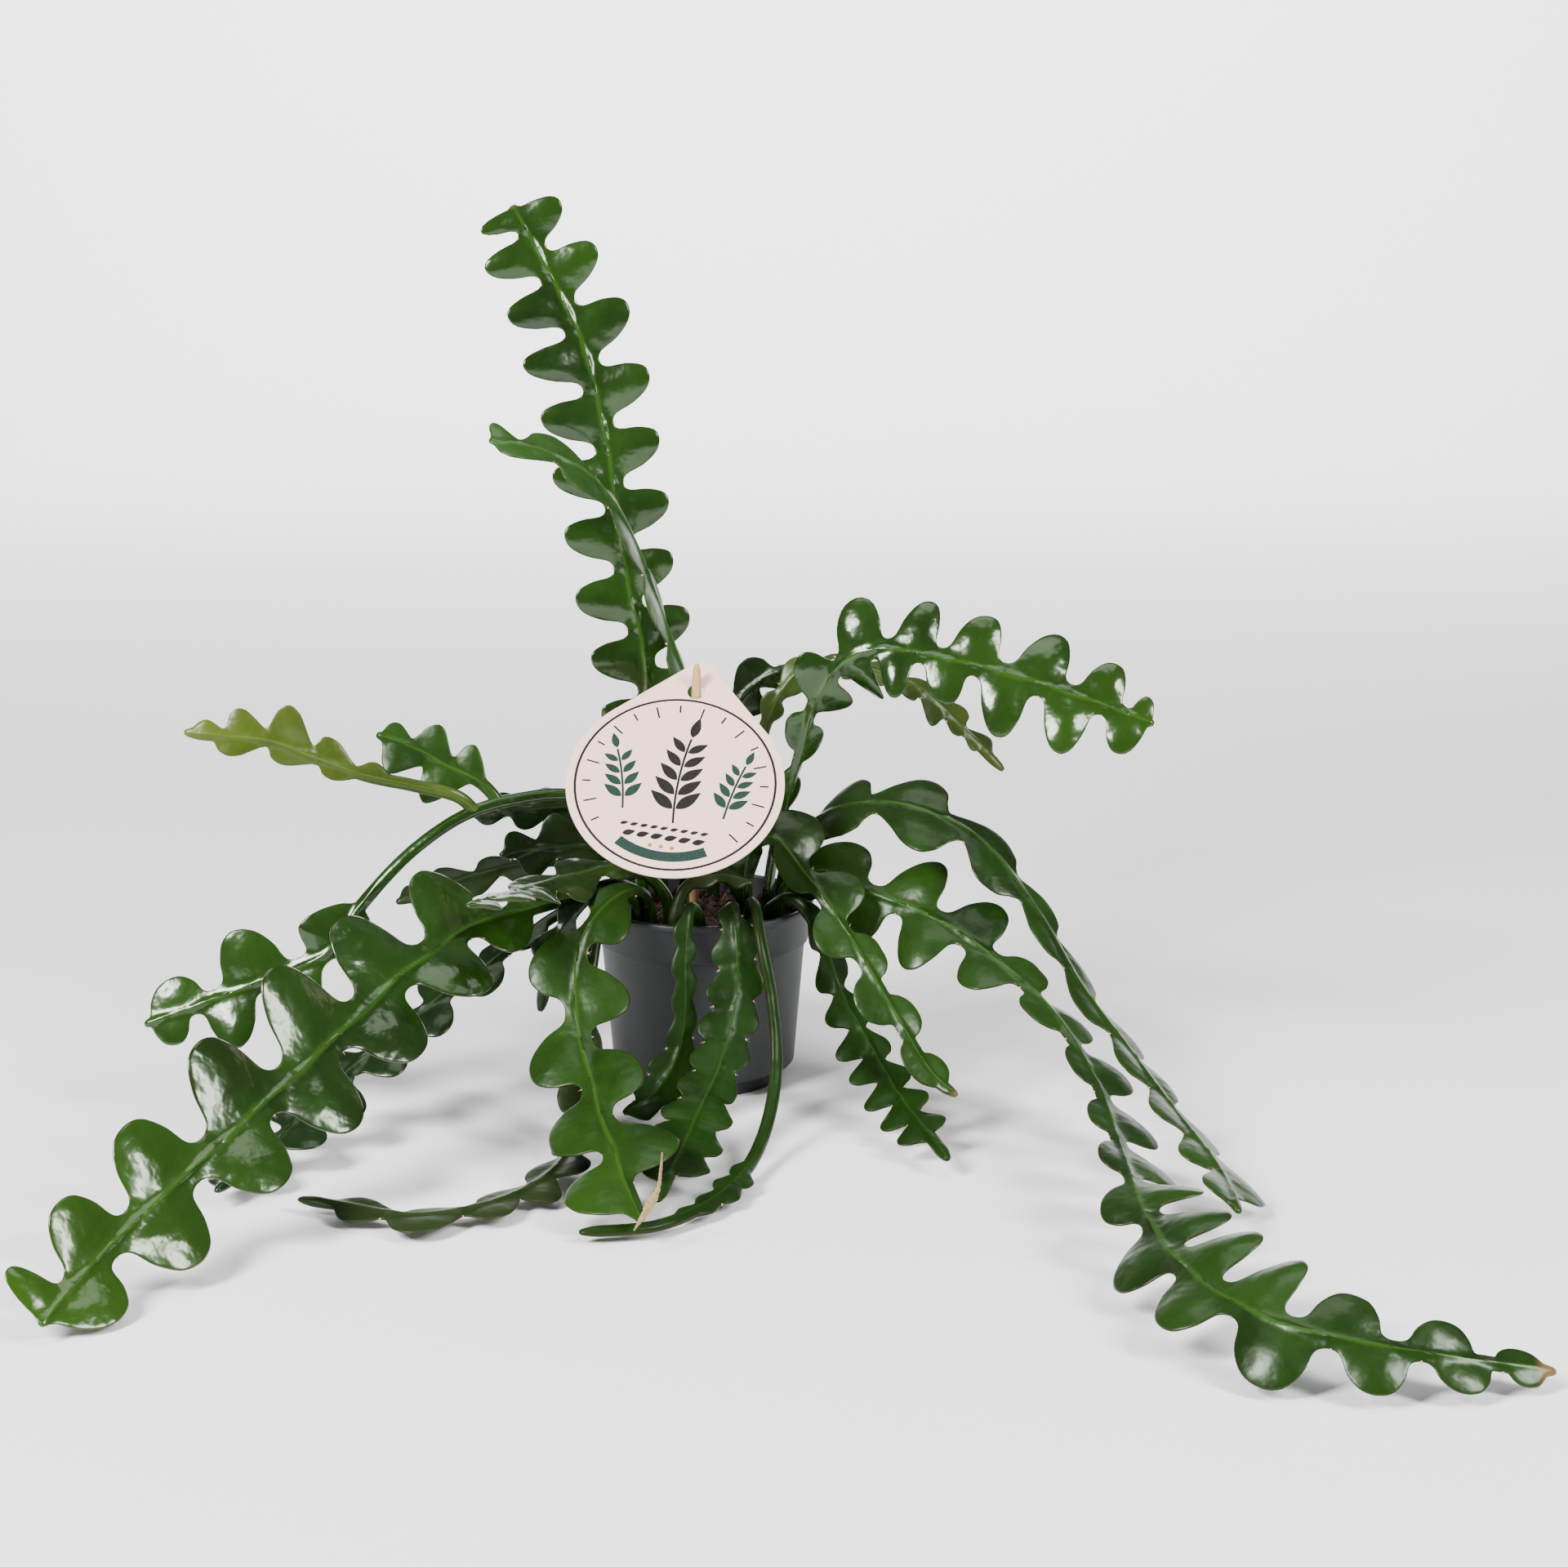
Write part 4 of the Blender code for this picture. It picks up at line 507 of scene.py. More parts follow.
# How much younger each stem looks at its tip, and the length of its dried tip.
stemAges = {
    "stem_left_big": (0.95, 0), "stem_right_arch": (0.45, 0), "stem_right_long": (0.05, 9 * mm),
    "stem_tall": (0.05, 2 * mm), "stem_left_arch": (0.35, 0), "shoot_young": (0.5, 3 * mm),
    "stem_right_front": (0.15, 3 * mm),
}
plainAge = (0.2, 0)


# The blade's middle surface with its normals, half thickness and what its colours need.
def stemGrid(name):
    s = stemShape
    stem = stems[name]
    rib, length = smoothRoute(stem["route"])
    shares = np.linspace(0, 1, max(24, round(length / s["columnStep"])))
    tangents = np.gradient(rib, axis=0)
    tangents /= np.linalg.norm(tangents, axis=1)[:, None]
    faces = spread(stem["faces"], np.linspace(0, 1, len(rib)))
    faces -= tangents * (faces * tangents).sum(1)[:, None]
    faces /= np.linalg.norm(faces, axis=1)[:, None]
    at = shares * (len(rib) - 1)

    def along(values):
        places = np.arange(len(rib))
        return np.stack([np.interp(at, places, values[:, i]) for i in range(3)], 1)

    centre, tangent, face = along(rib), along(tangents), along(faces)
    sideways = np.cross(tangent, face)
    metres = shares * length
    toTip = np.clip((length - metres) / s["tipLength"], 0, 1)
    tipShare = np.sqrt(1 - s["tipFlat"] * (1 - toTip) ** 2)
    both = {side: lobesOf(stem, side, length) for side in (-1, 1)}
    reaches = [np.interp(metres, places, values) for _, places, values in both.values()]
    lobed = np.clip((sum(reaches) / 2 * tipShare - s["lobedFrom"]) / s["lobedOver"], 0, 1)
    edges = {side: edgeAlong(stem, both[side], metres) for side in (-1, 1)}
    rows = [-r for r in s["rows"][:0:-1]] + s["rows"]
    points = np.zeros((len(shares), len(rows), 3))
    half = np.zeros((len(shares), len(rows)))
    facts = np.zeros((len(shares), len(rows), 4))
    youth, dryLength = stemAges.get(name, plainAge)
    for j, row in enumerate(rows):
        side = 1 if row > 0 else -1
        shift, width, lobe, part, w = edges[side]
        narrowest = s["neckHalfWidth"] * (s["tipWidth"] + (1 - s["tipWidth"]) * np.sqrt(toTip))
        width = np.maximum(narrowest, width * tipShare)
        out = width * abs(row)
        tilt = easedTilt(lobe, part, len(stem["route"]) + (1.3 if side > 0 else 0.0)) * lobed
        swell = s["pillow"] * np.maximum(0.0, width - s["pillowFrom"])
        swell = swell * np.sin(np.pi * min(1.0, abs(row) * 0.94)) * np.clip(w, 0, 1) ** 2 * lobed
        rise = stem["cup"] * out * out / s["cupAcross"] + tilt * out + swell
        lean = stem["lean"] * np.maximum(0.0, width - s["neckHalfWidth"])
        point = centre + sideways * (out * side)[:, None] + face * rise[:, None]
        point += tangent * ((shift + lean) * abs(row) * lobed)[:, None]
        bow = math.sqrt(max(0.0, 1 - row * row))
        blade = s["edgeHalf"] + (s["bladeHalf"] - s["edgeHalf"]) * bow
        ridge = s["ribHeight"] * np.exp(-(out / s["ribWidth"]) ** 2)
        toSinus = np.minimum(part, 1 - part) * s["veinPitch"]
        vein = s["vein"] * np.exp(-(toSinus / s["veinWidth"]) ** 2) * (1 - abs(row))
        roundHalf = s["neckHalfThickness"] * math.sqrt(max(0.02, 1 - 0.97 * row * row))
        thick = (blade + ridge + vein) * lobed + roundHalf * (1 - lobed)
        thick *= s["tipThickness"] + (1 - s["tipThickness"]) * np.sqrt(toTip)
        point[:, 2] = np.maximum(point[:, 2], thick + s["lying"])
        points[:, j] = point
        half[:, j] = thick
        facts[:, j, 0] = abs(row)
        young = np.clip((shares - s["youngFrom"]) / (1 - s["youngFrom"]), 0, 1)
        facts[:, j, 1] = young ** 2 * youth
        # a shade of its own for each lobe, from a repeatable hash
        facts[:, j, 2] = (np.sin(lobe * 12.9898 + side * 4.1 + length * 37) * 43758.5453) % 1.0
        if dryLength:
            facts[:, j, 3] = np.clip((metres - length + dryLength) / s["dryFade"], 0, 1)
    middle = len(rows) // 2
    facts[:, middle, 2] = (facts[:, middle - 1, 2] + facts[:, middle + 1, 2]) / 2
    normals = np.cross(np.gradient(points, axis=1), np.gradient(points, axis=0))
    normals *= np.sign((normals * face[:, None, :]).sum(2, keepdims=True).mean())
    normals /= np.maximum(np.linalg.norm(normals, axis=2, keepdims=True), 1e-12)
    blend = 1 - lobed[:, None, None]
    normals = normals * (1 - blend) + face[:, None, :] * blend
    normals /= np.linalg.norm(normals, axis=2, keepdims=True)
    return points, normals, half, facts, lobed, both, metres


# One closed skin: up over the front of the blade and back behind it, capped at both ends.
def stemMesh(name):
    points, normals, half, facts = stemGrid(name)[:4]
    columns = len(half)
    top = points + normals * half[:, :, None]
    low = points - normals * half[:, :, None]
    low[:, :, 2] = np.maximum(low[:, :, 2], stemShape["lowest"])
    ring = np.concatenate([top, low[:, ::-1]], axis=1)
    ringFacts = np.concatenate([facts, facts[:, ::-1]], axis=1)
    around = ring.shape[1]
    i, j = np.meshgrid(np.arange(columns - 1), np.arange(around), indexing="ij")
    here, after = i * around + j, i * around + (j + 1) % around
    quads = np.stack([here, after, after + around, here + around], -1)
    polygons = quads.reshape(-1, 4).tolist()
    polygons.append(list(range(around))[::-1])
    polygons.append([(columns - 1) * around + k for k in range(around)])
    mesh = bpy.data.meshes.new(name)
    mesh.from_pydata(ring.reshape(-1, 3).tolist(), [], polygons)
    attribute = mesh.attributes.new("place", "FLOAT_COLOR", "POINT")
    attribute.data.foreach_set("color", ringFacts.reshape(-1).astype(np.float32))
    bm = bmesh.new()
    bm.from_mesh(mesh)
    outwardMesh(bm, mesh)
    mesh.shade_smooth()
    return mesh


# The skin of a cactus stem: waxy, so it is glossy over soft dents, mottled, younger and paler
# to the tip and along the rib, thin brown at the edge and straw where it dried.
# Each kind: deep, body, fresh, tip and rib colours, roughness, and how much the wax shines.
stemSkins = {
    "mid": ("#0a1b03", "#142d06", "#26450c", "#2e4d0c", "#335715", 0.15, 0.62),
    "satin": ("#0a1b03", "#142d06", "#26450c", "#2e4d0c", "#335715", 0.27, 0.34),
    "light": ("#0f2304", "#183306", "#294b0c", "#31540e", "#365a15", 0.30, 0.3),
    "young": ("#0f260b", "#1b360e", "#2e521a", "#3e6622", "#406924", 0.28, 0.36),
    "yellow": ("#29380a", "#3a490f", "#4f5e1b", "#59661b", "#5c6824", 0.30, 0.35),
    "olive": ("#202d0c", "#2c3d11", "#43521c", "#4e591e", "#546026", 0.30, 0.35),
    "dark": ("#051003", "#0a1c05", "#162f0a", "#1b350a", "#213d12", 0.22, 0.42),
    # painted shade: a darker, duller copy of the green skin for stems that stand in shade
    "shaded": ("#0a1903", "#112805", "#1b380a", "#22430b", "#244610", 0.36, 0.16),
    "dull": ("#101b05", "#172509", "#253513", "#2a3713", "#31411b", 0.38, 0.25),
}
# Stems that look different from their kind, because of where they stand. The shaded kind is painted
# shade: a darker, duller skin for the front and hanging stems that stand in shade.
stemLooks = {
    "stem_front_middle": "shaded", "stem_front_narrow": "shaded", "stem_front_thin": "shaded",
    "stem_right_hanging": "shaded", "shoot_dark": "light", "stem_right_far": "satin",
    "stem_right_long": "satin", "stem_right_front": "satin",
}


def makeStemSkin(kind):
    deep, body, fresh, tip, rib, gloss, shine = stemSkins[kind]
    return makeFinish({
        "name": f"cactus stem {kind}", "attribute": "place",
        "patterns": {"broad": (14, 4, 0.6), "fine": (1.6, 4, 0.6), "dents": (9, 2, 0.5),
                     "ripples": (3.6, 2, 0.5)},
        "colors": [deep, (body, "broad", 1, 0.35, 0.66), (fresh, "lobe", 0.40),
                   (tip, "youth", 0.7), (fresh, "fine", 0.10, 0.50, 0.75),
                   (rib, "share", 0.45, 0.10, 0.02), ("#33190c", "share", 0.45, 0.975, 1.0),
                   ("#6d5330", "dryness", 1)],
        "roughness": ("broad", gloss - 0.04, gloss + 0.12),
        "bumps": [("dents", 2.4, 0.6), ("ripples", 0.7, 0.6), ("fine", 0.05, 0.5)],
        "inputs": {"Coat Weight": 0.2 * shine, "Coat Roughness": 0.16,
                   "Specular IOR Level": shine, "Specular Tint": hexToLinear("#e2f2d8")},
    })


stemMaterials = {kind: makeStemSkin(kind) for kind in stemSkins}
for stemName, stem in stems.items():
    isShoot = stemName.startswith("shoot")  # the shoots grew on the arching stem
    node = "stem_left_arch" if isShoot else stemName
    skin = stemMaterials[stemLooks.get(stemName, stem["skin"])]
    placeObject(stemName + "_blade", stemMesh(stemName), skin, node)
print("stems")

# The torn strip that curls from the tip of the front left stem, in cm like the stems.
dryStrip = {
    "route": [(-1.15, -22.6, 3.9), (-1.21, -22.9, 3.2), (-1.3, -23.25, 2.6), (-1.6, -23.6, 2.05),
              (-1.9, -24, 1.65), (-2.25, -24.4, 1.2)],
    "widths": [0.3, 0.6, 0.8, 2.0, 1.3, 0.3],  # in mm
    "thickness": 0.5 * mm, "curl": 0.4 * mm, "columns": 60, "seed": 6,
}
# Dried stem skin: papery, quite matt, straw with brown blotches.
dryFinish = {
    "name": "dried skin", "patterns": {"blotch": (1.2, 4, 0.5)},
    "colors": ["#5c4526", ("#b39a6c", "blotch", 1)], "roughness": 0.85,
}


def makeDryStrip():
    s = dryStrip
    rng = random.Random(s["seed"])
    count = s["columns"]
    route = smoothRoute(s["route"], count)[0]
    along = np.linspace(0, 1, count)
    widths = np.interp(along, np.linspace(0, 1, len(s["widths"])), s["widths"]) * mm
    bm = bmesh.new()
    rings = []
    for k, (point, width) in enumerate(zip(route, widths)):
        ahead = Vector(route[min(k + 1, count - 1)] - route[max(k - 1, 0)]).normalized()
        side = ahead.cross(Vector((0, -1, 0.3))).normalized()
        up = side.cross(ahead)
        ragged = width * rng.uniform(0.75, 1.2)
        middle = Vector(point) + up * (s["curl"] * math.sin(k * 0.5))
        flat = s["thickness"] / ragged
        corners = ((side, 1), (up, flat), (side, -1), (up, -flat))
        rings.append([bm.verts.new(middle + axis * (share * ragged)) for axis, share in corners])
    bridgeRings(bm, rings)
    return outwardMesh(bm, bpy.data.meshes.new("dry_strip"))


placeObject("stem_front_left_dry_strip", makeDryStrip(), makeFinish(dryFinish))

areoleShape = {
    "radius": 0.55 * mm, "bristles": 4, "bristleLength": 1.6 * mm, "bristleRadius": 0.045 * mm,
    "bristleTaper": 0.3, "seed": 4,
}
# Areole wool: short felt, quite matt, cream with brown.
areoleFinish = {
    "name": "areole wool", "patterns": {"felt": (0.8, 3, 0.5)},
    "colors": ["#8a6b45", ("#d8c8a0", "felt", 1)], "roughness": 0.9,
}


# Points on the blade's edge at each sinus, with the outward direction there.
def sinusPoints(name):
    points, normals, _, _, lobed, both, metres = stemGrid(name)
    found = []
    for edge, inner, side in ((0, 1, -1), (-1, -2, 1)):
        for sinus in both[side][0]:
            k = int(np.searchsorted(metres, sinus))
            if not 1 < k < len(metres) - 3 or lobed[k] < 0.5:
                continue
            outward = Vector(points[k, edge] - points[k, inner])
            if outward.length > 1e-7:
                tip = Vector(points[k, edge])
                found.append((tip, outward.normalized(), Vector(normals[k, edge])))
    return found


# The small woolly cushion in each sinus with a few short bristles, for all stems.
def makeAreoles():
    s = areoleShape
    rng = random.Random(s["seed"])
    bm = bmesh.new()
    for name in stems:
        for point, outward, normal in sinusPoints(name):
            radius = s["radius"] * rng.uniform(0.7, 1.2)
            place = Matrix.Translation(point)
            bmesh.ops.create_icosphere(bm, subdivisions=1, radius=radius, matrix=place)
            for _ in range(s["bristles"]):
                aim = outward + normal * rng.uniform(-0.7, 0.7)
                aim += outward.cross(normal) * rng.uniform(-0.9, 0.9)
                length = s["bristleLength"] * rng.uniform(0.6, 1.3)
                turn = aim.to_track_quat("Z", "Y").to_matrix().to_4x4()
                turn.translation = point + aim.normalized() * length / 2
                bmesh.ops.create_cone(
                    bm, cap_ends=True, segments=4, radius1=s["bristleRadius"],
                    radius2=s["bristleRadius"] * s["bristleTaper"], depth=length,
                    matrix=turn,
                )
    return outwardMesh(bm, bpy.data.meshes.new("areoles"))


placeObject("areoles", makeAreoles(), makeFinish(areoleFinish))
print("areoles")


# A profile of (radius, height) from axis to axis, drawn point by point and spun about Z.
def turnedMesh(name, profile, steps):
    bpy.ops.object.select_all(action="DESELECT")
    bpy.ops.mesh.primitive_plane_add(size=1 * mm, location=(0, 0, 0))
    obj = bpy.context.object
    bpy.ops.object.mode_set(mode="EDIT")
    bpy.ops.mesh.select_all(action="SELECT")
    bpy.ops.mesh.merge(type="CENTER")
    bpy.ops.transform.translate(value=(0, 0, profile[0][1]))
    for (radius, height), (nextRadius, nextHeight) in zip(profile, profile[1:]):
        step = (nextRadius - radius, 0, nextHeight - height)
        bpy.ops.mesh.extrude_region_move(TRANSFORM_OT_translate={"value": step})
    bpy.ops.mesh.select_all(action="SELECT")
    bpy.ops.mesh.spin(steps=steps, angle=fullTurn, center=(0, 0, 0), axis=(0, 0, 1))
    bpy.ops.mesh.select_all(action="SELECT")
    bpy.ops.mesh.remove_doubles(threshold=0.01 * mm)
    bpy.ops.mesh.normals_make_consistent(inside=False)
    bpy.ops.object.mode_set(mode="OBJECT")
    mesh = obj.data
    mesh.name = name
    bpy.data.objects.remove(obj)
    mesh.shade_smooth()
    return mesh


potShape = {
    "rim": 52.5 * mm, "height": 87.0 * mm, "wall": 1.2 * mm,
    "collar": 19.0 * mm, "collarRadius": 50.7 * mm, "underCollar": 48.3 * mm,
    "foot": 37.2 * mm, "footStep": 8.5 * mm, "wallFoot": 43.2 * mm, "steps": 128,
    "drains": 6, "drainRing": 24 * mm, "drainRadius": 3.5 * mm,
    "drainTurn": 0.05,  # keeps the cutters' edges off the floor's own
}
# Moulded polypropylene, charcoal: a matt eroded skin with a cloudy sheen and dust from the peat.
# Its grain is too fine to show and is drawn at 0.35 mm.
potFinish = {
    "name": "moulded polypropylene",
    "patterns": {"cloud": (26, 3, 0.5), "grain": (0.35, 2, 0.5), "dust": (5, 3, 0.5)},
    "colors": ["#181a1d", ("#1e2124", "cloud", 1), ("#2a2d30", "dust", 0.18, 0.55, 0.8)],
    "roughness": ("cloud", 0.46, 0.60), "bumps": [("grain", 0.03, 0.6)],
}


def innerRadius(height):
    s = potShape
    share = (height - s["footStep"]) / (s["height"] - s["collar"] - s["footStep"])
    taper = (s["underCollar"] - s["wallFoot"]) * min(1.0, max(0.0, share))
    return s["wallFoot"] + taper - s["wall"]


# Each group of points is given in mm from a radius and a height of the pot.
def potProfile():
    s = potShape
    top, low, step = s["height"], s["height"] - s["collar"], s["footStep"]
    collar, inCollar = s["collarRadius"], s["collarRadius"] - s["wall"]
    groups = [
        (0.0, 0.0, [(0, 3.4)]),
        (innerRadius(step), 0.0, [(-7.4, 3.4), (-6.8, 3.7), (-6.2, 8.6), (0, 10.7)]),
        (innerRadius(low), low, [(0, 1.0)]),
        (inCollar, low, [(-0.8, 2.4), (-0.5, 2.9)]),
        (inCollar, top, [(0, -0.9), (0.2, -0.25), (0.6, 0)]),
        (s["rim"], top, [(-0.7, 0), (-0.2, -0.2), (0, -0.7), (0, -2.3), (-0.2, -2.7), (-0.6, -2.85)]),
        (collar, top, [(0.3, -2.9), (0, -3.2)]),
        (collar, low, [(-0.6, 1.2), (-0.75, 0.4), (-1.1, 0.05)]),
        (s["underCollar"], low, [(0.4, -0.3), (0, -0.9)]),
        (s["wallFoot"], step, [(0.1, 0.9), (-0.1, 0.2), (-0.8, -0.6)]),
        (s["foot"], step, [(1.0, -2.8), (0.6, -3.3)]),
        (s["foot"], 0.0, [(0, 1.0), (-0.3, 0.3), (-0.9, 0)]),
        (0.0, 0.0, [(30.5, 0), (29.6, 2.2), (11.0, 2.2), (10.0, 0), (0, 0)]),
    ]
    return [(radius + dr * mm, height + dz * mm)
            for radius, height, group in groups for dr, dz in group]


# The turned shell with drain holes cut through its floor.
def makePotShell():
    s = potShape
    shell = linkObject("pot_turned", turnedMesh("pot_shell", potProfile(), s["steps"]))
    for k in range(s["drains"]):
        x, y = polar(s["drainRing"], fullTurn * (k + 0.5) / s["drains"])
        bpy.ops.object.select_all(action="DESELECT")
        bpy.ops.mesh.primitive_cylinder_add(
            vertices=32, radius=s["drainRadius"], depth=12 * mm, location=(x, y, 3 * mm),
            rotation=(0, 0, s["drainTurn"]),
        )
        cutter = bpy.context.object
        hole = shell.modifiers.new("drain", "BOOLEAN")
        hole.operation = "DIFFERENCE"
        hole.object = cutter
        bpy.context.view_layer.objects.active = shell
        bpy.ops.object.modifier_apply(modifier="drain")
        bpy.data.objects.remove(cutter)
    mesh = shell.data
    bpy.data.objects.remove(shell)
    return mesh


placeObject("pot_shell", makePotShell(), makeFinish(potFinish), "pot")
print("pot")

soilShape = {
    "top": 77.0 * mm, "rings": 44, "steps": 150, "seed": 11, "gap": 0.5 * mm,
    "rise": 0.4 * mm, "waves": 26, "waveHeight": 0.22, "grit": 0.12 * mm,
    "edge": 1.6 * mm, "edgeFrom": 0.94,  # the last part of the top falls away to the wall
    "lower": [(62 * mm, 62 * mm, 0.5 * mm), (8.5 * mm, 11.8 * mm, 0.4 * mm),
              (8.5 * mm, 9.3 * mm, 8 * mm)],  # wall read at, height, gap to the wall
    "crumbs": 1500, "crumbMargin": 2 * mm, "crumbSize": (0.5 * mm, 1.9 * mm),
    "bigCrumb": 1.4, "bigShare": 0.1, "crumbLift": 0.15, "crumbRough": 0.12,
    "fibres": 150, "fibreRadius": 42 * mm, "fibreEnd": 44.5 * mm, "fibreStep": 1.1 * mm,
    "fibreJoints": 7, "fibreLift": 0.7 * mm, "fibreHalf": (0.12 * mm, 0.32 * mm),
}
# Damp peat: crumbly, nearly black brown with rust-red bits, and no shine.
peatFinish = {
    "name": "damp peat",
    "patterns": {"lump": (3.5, 5, 0.65), "rust": (1.4, 3, 0.5), "crumb": (0.9, 5, 0.5)},
    "colors": ["#120b08", ("#33211a", "lump", 1, 0.35, 0.7), ("#58301f", "rust", 0.5, 0.6, 0.75)],
    "roughness": 0.92, "bumps": [("crumb", 0.8, 0.9)],
}
# Shredded bark and roots: dry fibres, red brown, paler here and there.
fibreFinish = {
    "name": "bark fibre", "patterns": {"shade": (4, 3, 0.5)},
    "colors": ["#4a2818", ("#7d4f33", "shade", 1)], "roughness": 0.8,
}


# The peat's body with an uneven top, and loose crumbs sunk in it.
def makeSoil():
    s = soilShape
    rng = random.Random(s["seed"])
    bm = bmesh.new()
    outer = innerRadius(s["top"]) - s["gap"]
    waves = [(rng.uniform(150, 900), rng.uniform(0, fullTurn), rng.uniform(0, fullTurn))
             for _ in range(s["waves"])]

    def heightAt(x, y):
        swells = [math.sin((x * math.cos(a) + y * math.sin(a)) * f + p) / f for f, a, p in waves]
        return s["top"] + s["rise"] + sum(swells) * s["waveHeight"]

    angles = [fullTurn * j / s["steps"] for j in range(s["steps"])]
    rings = [[bm.verts.new((0, 0, heightAt(0, 0)))]]
    for k in range(1, s["rings"] + 1):
        share = k / s["rings"]
        drop = s["edge"] * max(0.0, (share - s["edgeFrom"]) / (1 - s["edgeFrom"])) ** 2
        ring = []
        for angle in angles:
            x, y = polar(outer * share, angle)
            ring.append(bm.verts.new((x, y, heightAt(x, y) + rng.gauss(0, s["grit"]) - drop)))
        rings.append(ring)
    for level, height, gap in s["lower"]:
        radius = innerRadius(level) - gap
        rings.append([bm.verts.new((*polar(radius, angle), height)) for angle in angles])
    rings.append([bm.verts.new((0, 0, height))])
    for first, second in zip(rings, rings[1:]):
        for j in range(s["steps"]):
            corners = [first[j % len(first)], first[(j + 1) % len(first)]]
            corners += [second[(j + 1) % len(second)], second[j % len(second)]]
            bm.faces.new(list(dict.fromkeys(corners)))
    for _ in range(s["crumbs"]):
        radius = (outer - s["crumbMargin"]) * math.sqrt(rng.random())
        x, y = polar(radius, rng.uniform(0, fullTurn))
        size = rng.uniform(*s["crumbSize"])
        size *= s["bigCrumb"] if rng.random() < s["bigShare"] else 1
        angle = rng.uniform(0, 6.28)
        axis = Vector((rng.random(), rng.random(), rng.random() + 0.1)).normalized()
        stretch = (rng.uniform(0.7, 1.4), rng.uniform(0.6, 1.1), rng.uniform(0.5, 0.9), 1)
        matrix = Matrix.Translation((x, y, heightAt(x, y) + size * s["crumbLift"]))
        matrix = matrix @ Matrix.Rotation(angle, 4, axis) @ Matrix.Diagonal(stretch)
        made = bmesh.ops.create_icosphere(bm, subdivisions=1, radius=size, matrix=matrix)
        for vert in made["verts"]:
            vert.co += Vector([rng.gauss(0, s["crumbRough"]) for _ in range(3)]) * size
    return outwardMesh(bm, bpy.data.meshes.new("soil_peat")), heightAt


# Red-brown root fibres and bark shreds lying on the peat.
def makeFibres(heightAt):
    s = soilShape
    rng = random.Random(s["seed"] + 1)
    bm = bmesh.new()
    last = s["fibreJoints"] - 1
    for _ in range(s["fibres"]):
        radius = s["fibreRadius"] * math.sqrt(rng.random())
        x, y = polar(radius, rng.uniform(0, fullTurn))
        heading, bend = rng.uniform(0, fullTurn), rng.uniform(-0.5, 0.5)
        thick = rng.uniform(*s["fibreHalf"])
        rings = []
        for k in range(s["fibreJoints"]):
            lift = s["fibreLift"] + math.sin(math.pi * k / last) * rng.uniform(0.3, 1.2) * mm
            centre = Vector((x, y, heightAt(x, y) + lift))
            side, up = Vector((-math.sin(heading), math.cos(heading), 0)), Vector((0, 0, 1))
            rings.append([bm.verts.new(centre + c * thick) for c in (side, up, -side, -up)])
            x, y = polar(s["fibreStep"], heading, (x, y))
            heading += bend
            if x * x + y * y > s["fibreEnd"] ** 2:
                break
        if len(rings) > 1:
            bridgeRings(bm, rings)
    loose = [v for v in bm.verts if not v.link_faces]
    bmesh.ops.delete(bm, geom=loose, context="VERTS")
    return outwardMesh(bm, bpy.data.meshes.new("soil_fibres"))


soilMesh, heightAt = makeSoil()
placeObject("soil_peat", soilMesh, makeFinish(peatFinish), "soil")
placeObject("soil_fibres", makeFibres(heightAt), makeFinish(fibreFinish))
print("soil")

stickShape = {
    "foot": (-4.3 * mm, -16.5 * mm, 62 * mm), "tip": (-1.8 * mm, -18.1 * mm, 204.0 * mm),
    "radius": 2.3 * mm, "taper": 16 * mm, "steps": 32,
}
# Plain birch dowel: unvarnished, so matt, with fine tan grain along it, drawn 0.6 mm wide
# and 12.5 mm long to show.
stickFinish = {
    "name": "plain birch", "patterns": {"grain": ((5 / 9, 5 / 9, 12.5), 4, 0.5)},
    "colors": ["#9a7648", ("#cfae7e", "grain", 1)], "roughness": 0.65,
    "bumps": [("grain", 0.1, 0.5)],
}


def makeStick():
    s = stickShape
    foot, tip, radius, taper = Vector(s["foot"]), Vector(s["tip"]), s["radius"], s["taper"]
    length = (tip - foot).length
    profile = [(0.0, 0.0), (radius * 0.9, 0.0), (radius, 0.4 * mm), (radius, length - taper)]
    for t in (0.25, 0.5, 0.75, 0.9, 0.97):
        profile.append((radius * (1 - 0.3 * t ** 2 - 0.45 * t ** 12), length - taper * (1 - t)))
    profile += [(radius * 0.12, length), (0.0, length)]
    mesh = turnedMesh("stick", profile, s["steps"])
    turn = (tip - foot).to_track_quat("Z", "Y").to_matrix().to_4x4()
    turn.translation = foot
    mesh.transform(turn)
    return mesh


placeObject("label_stick_wood", makeStick(), makeFinish(stickFinish), "label_stick")

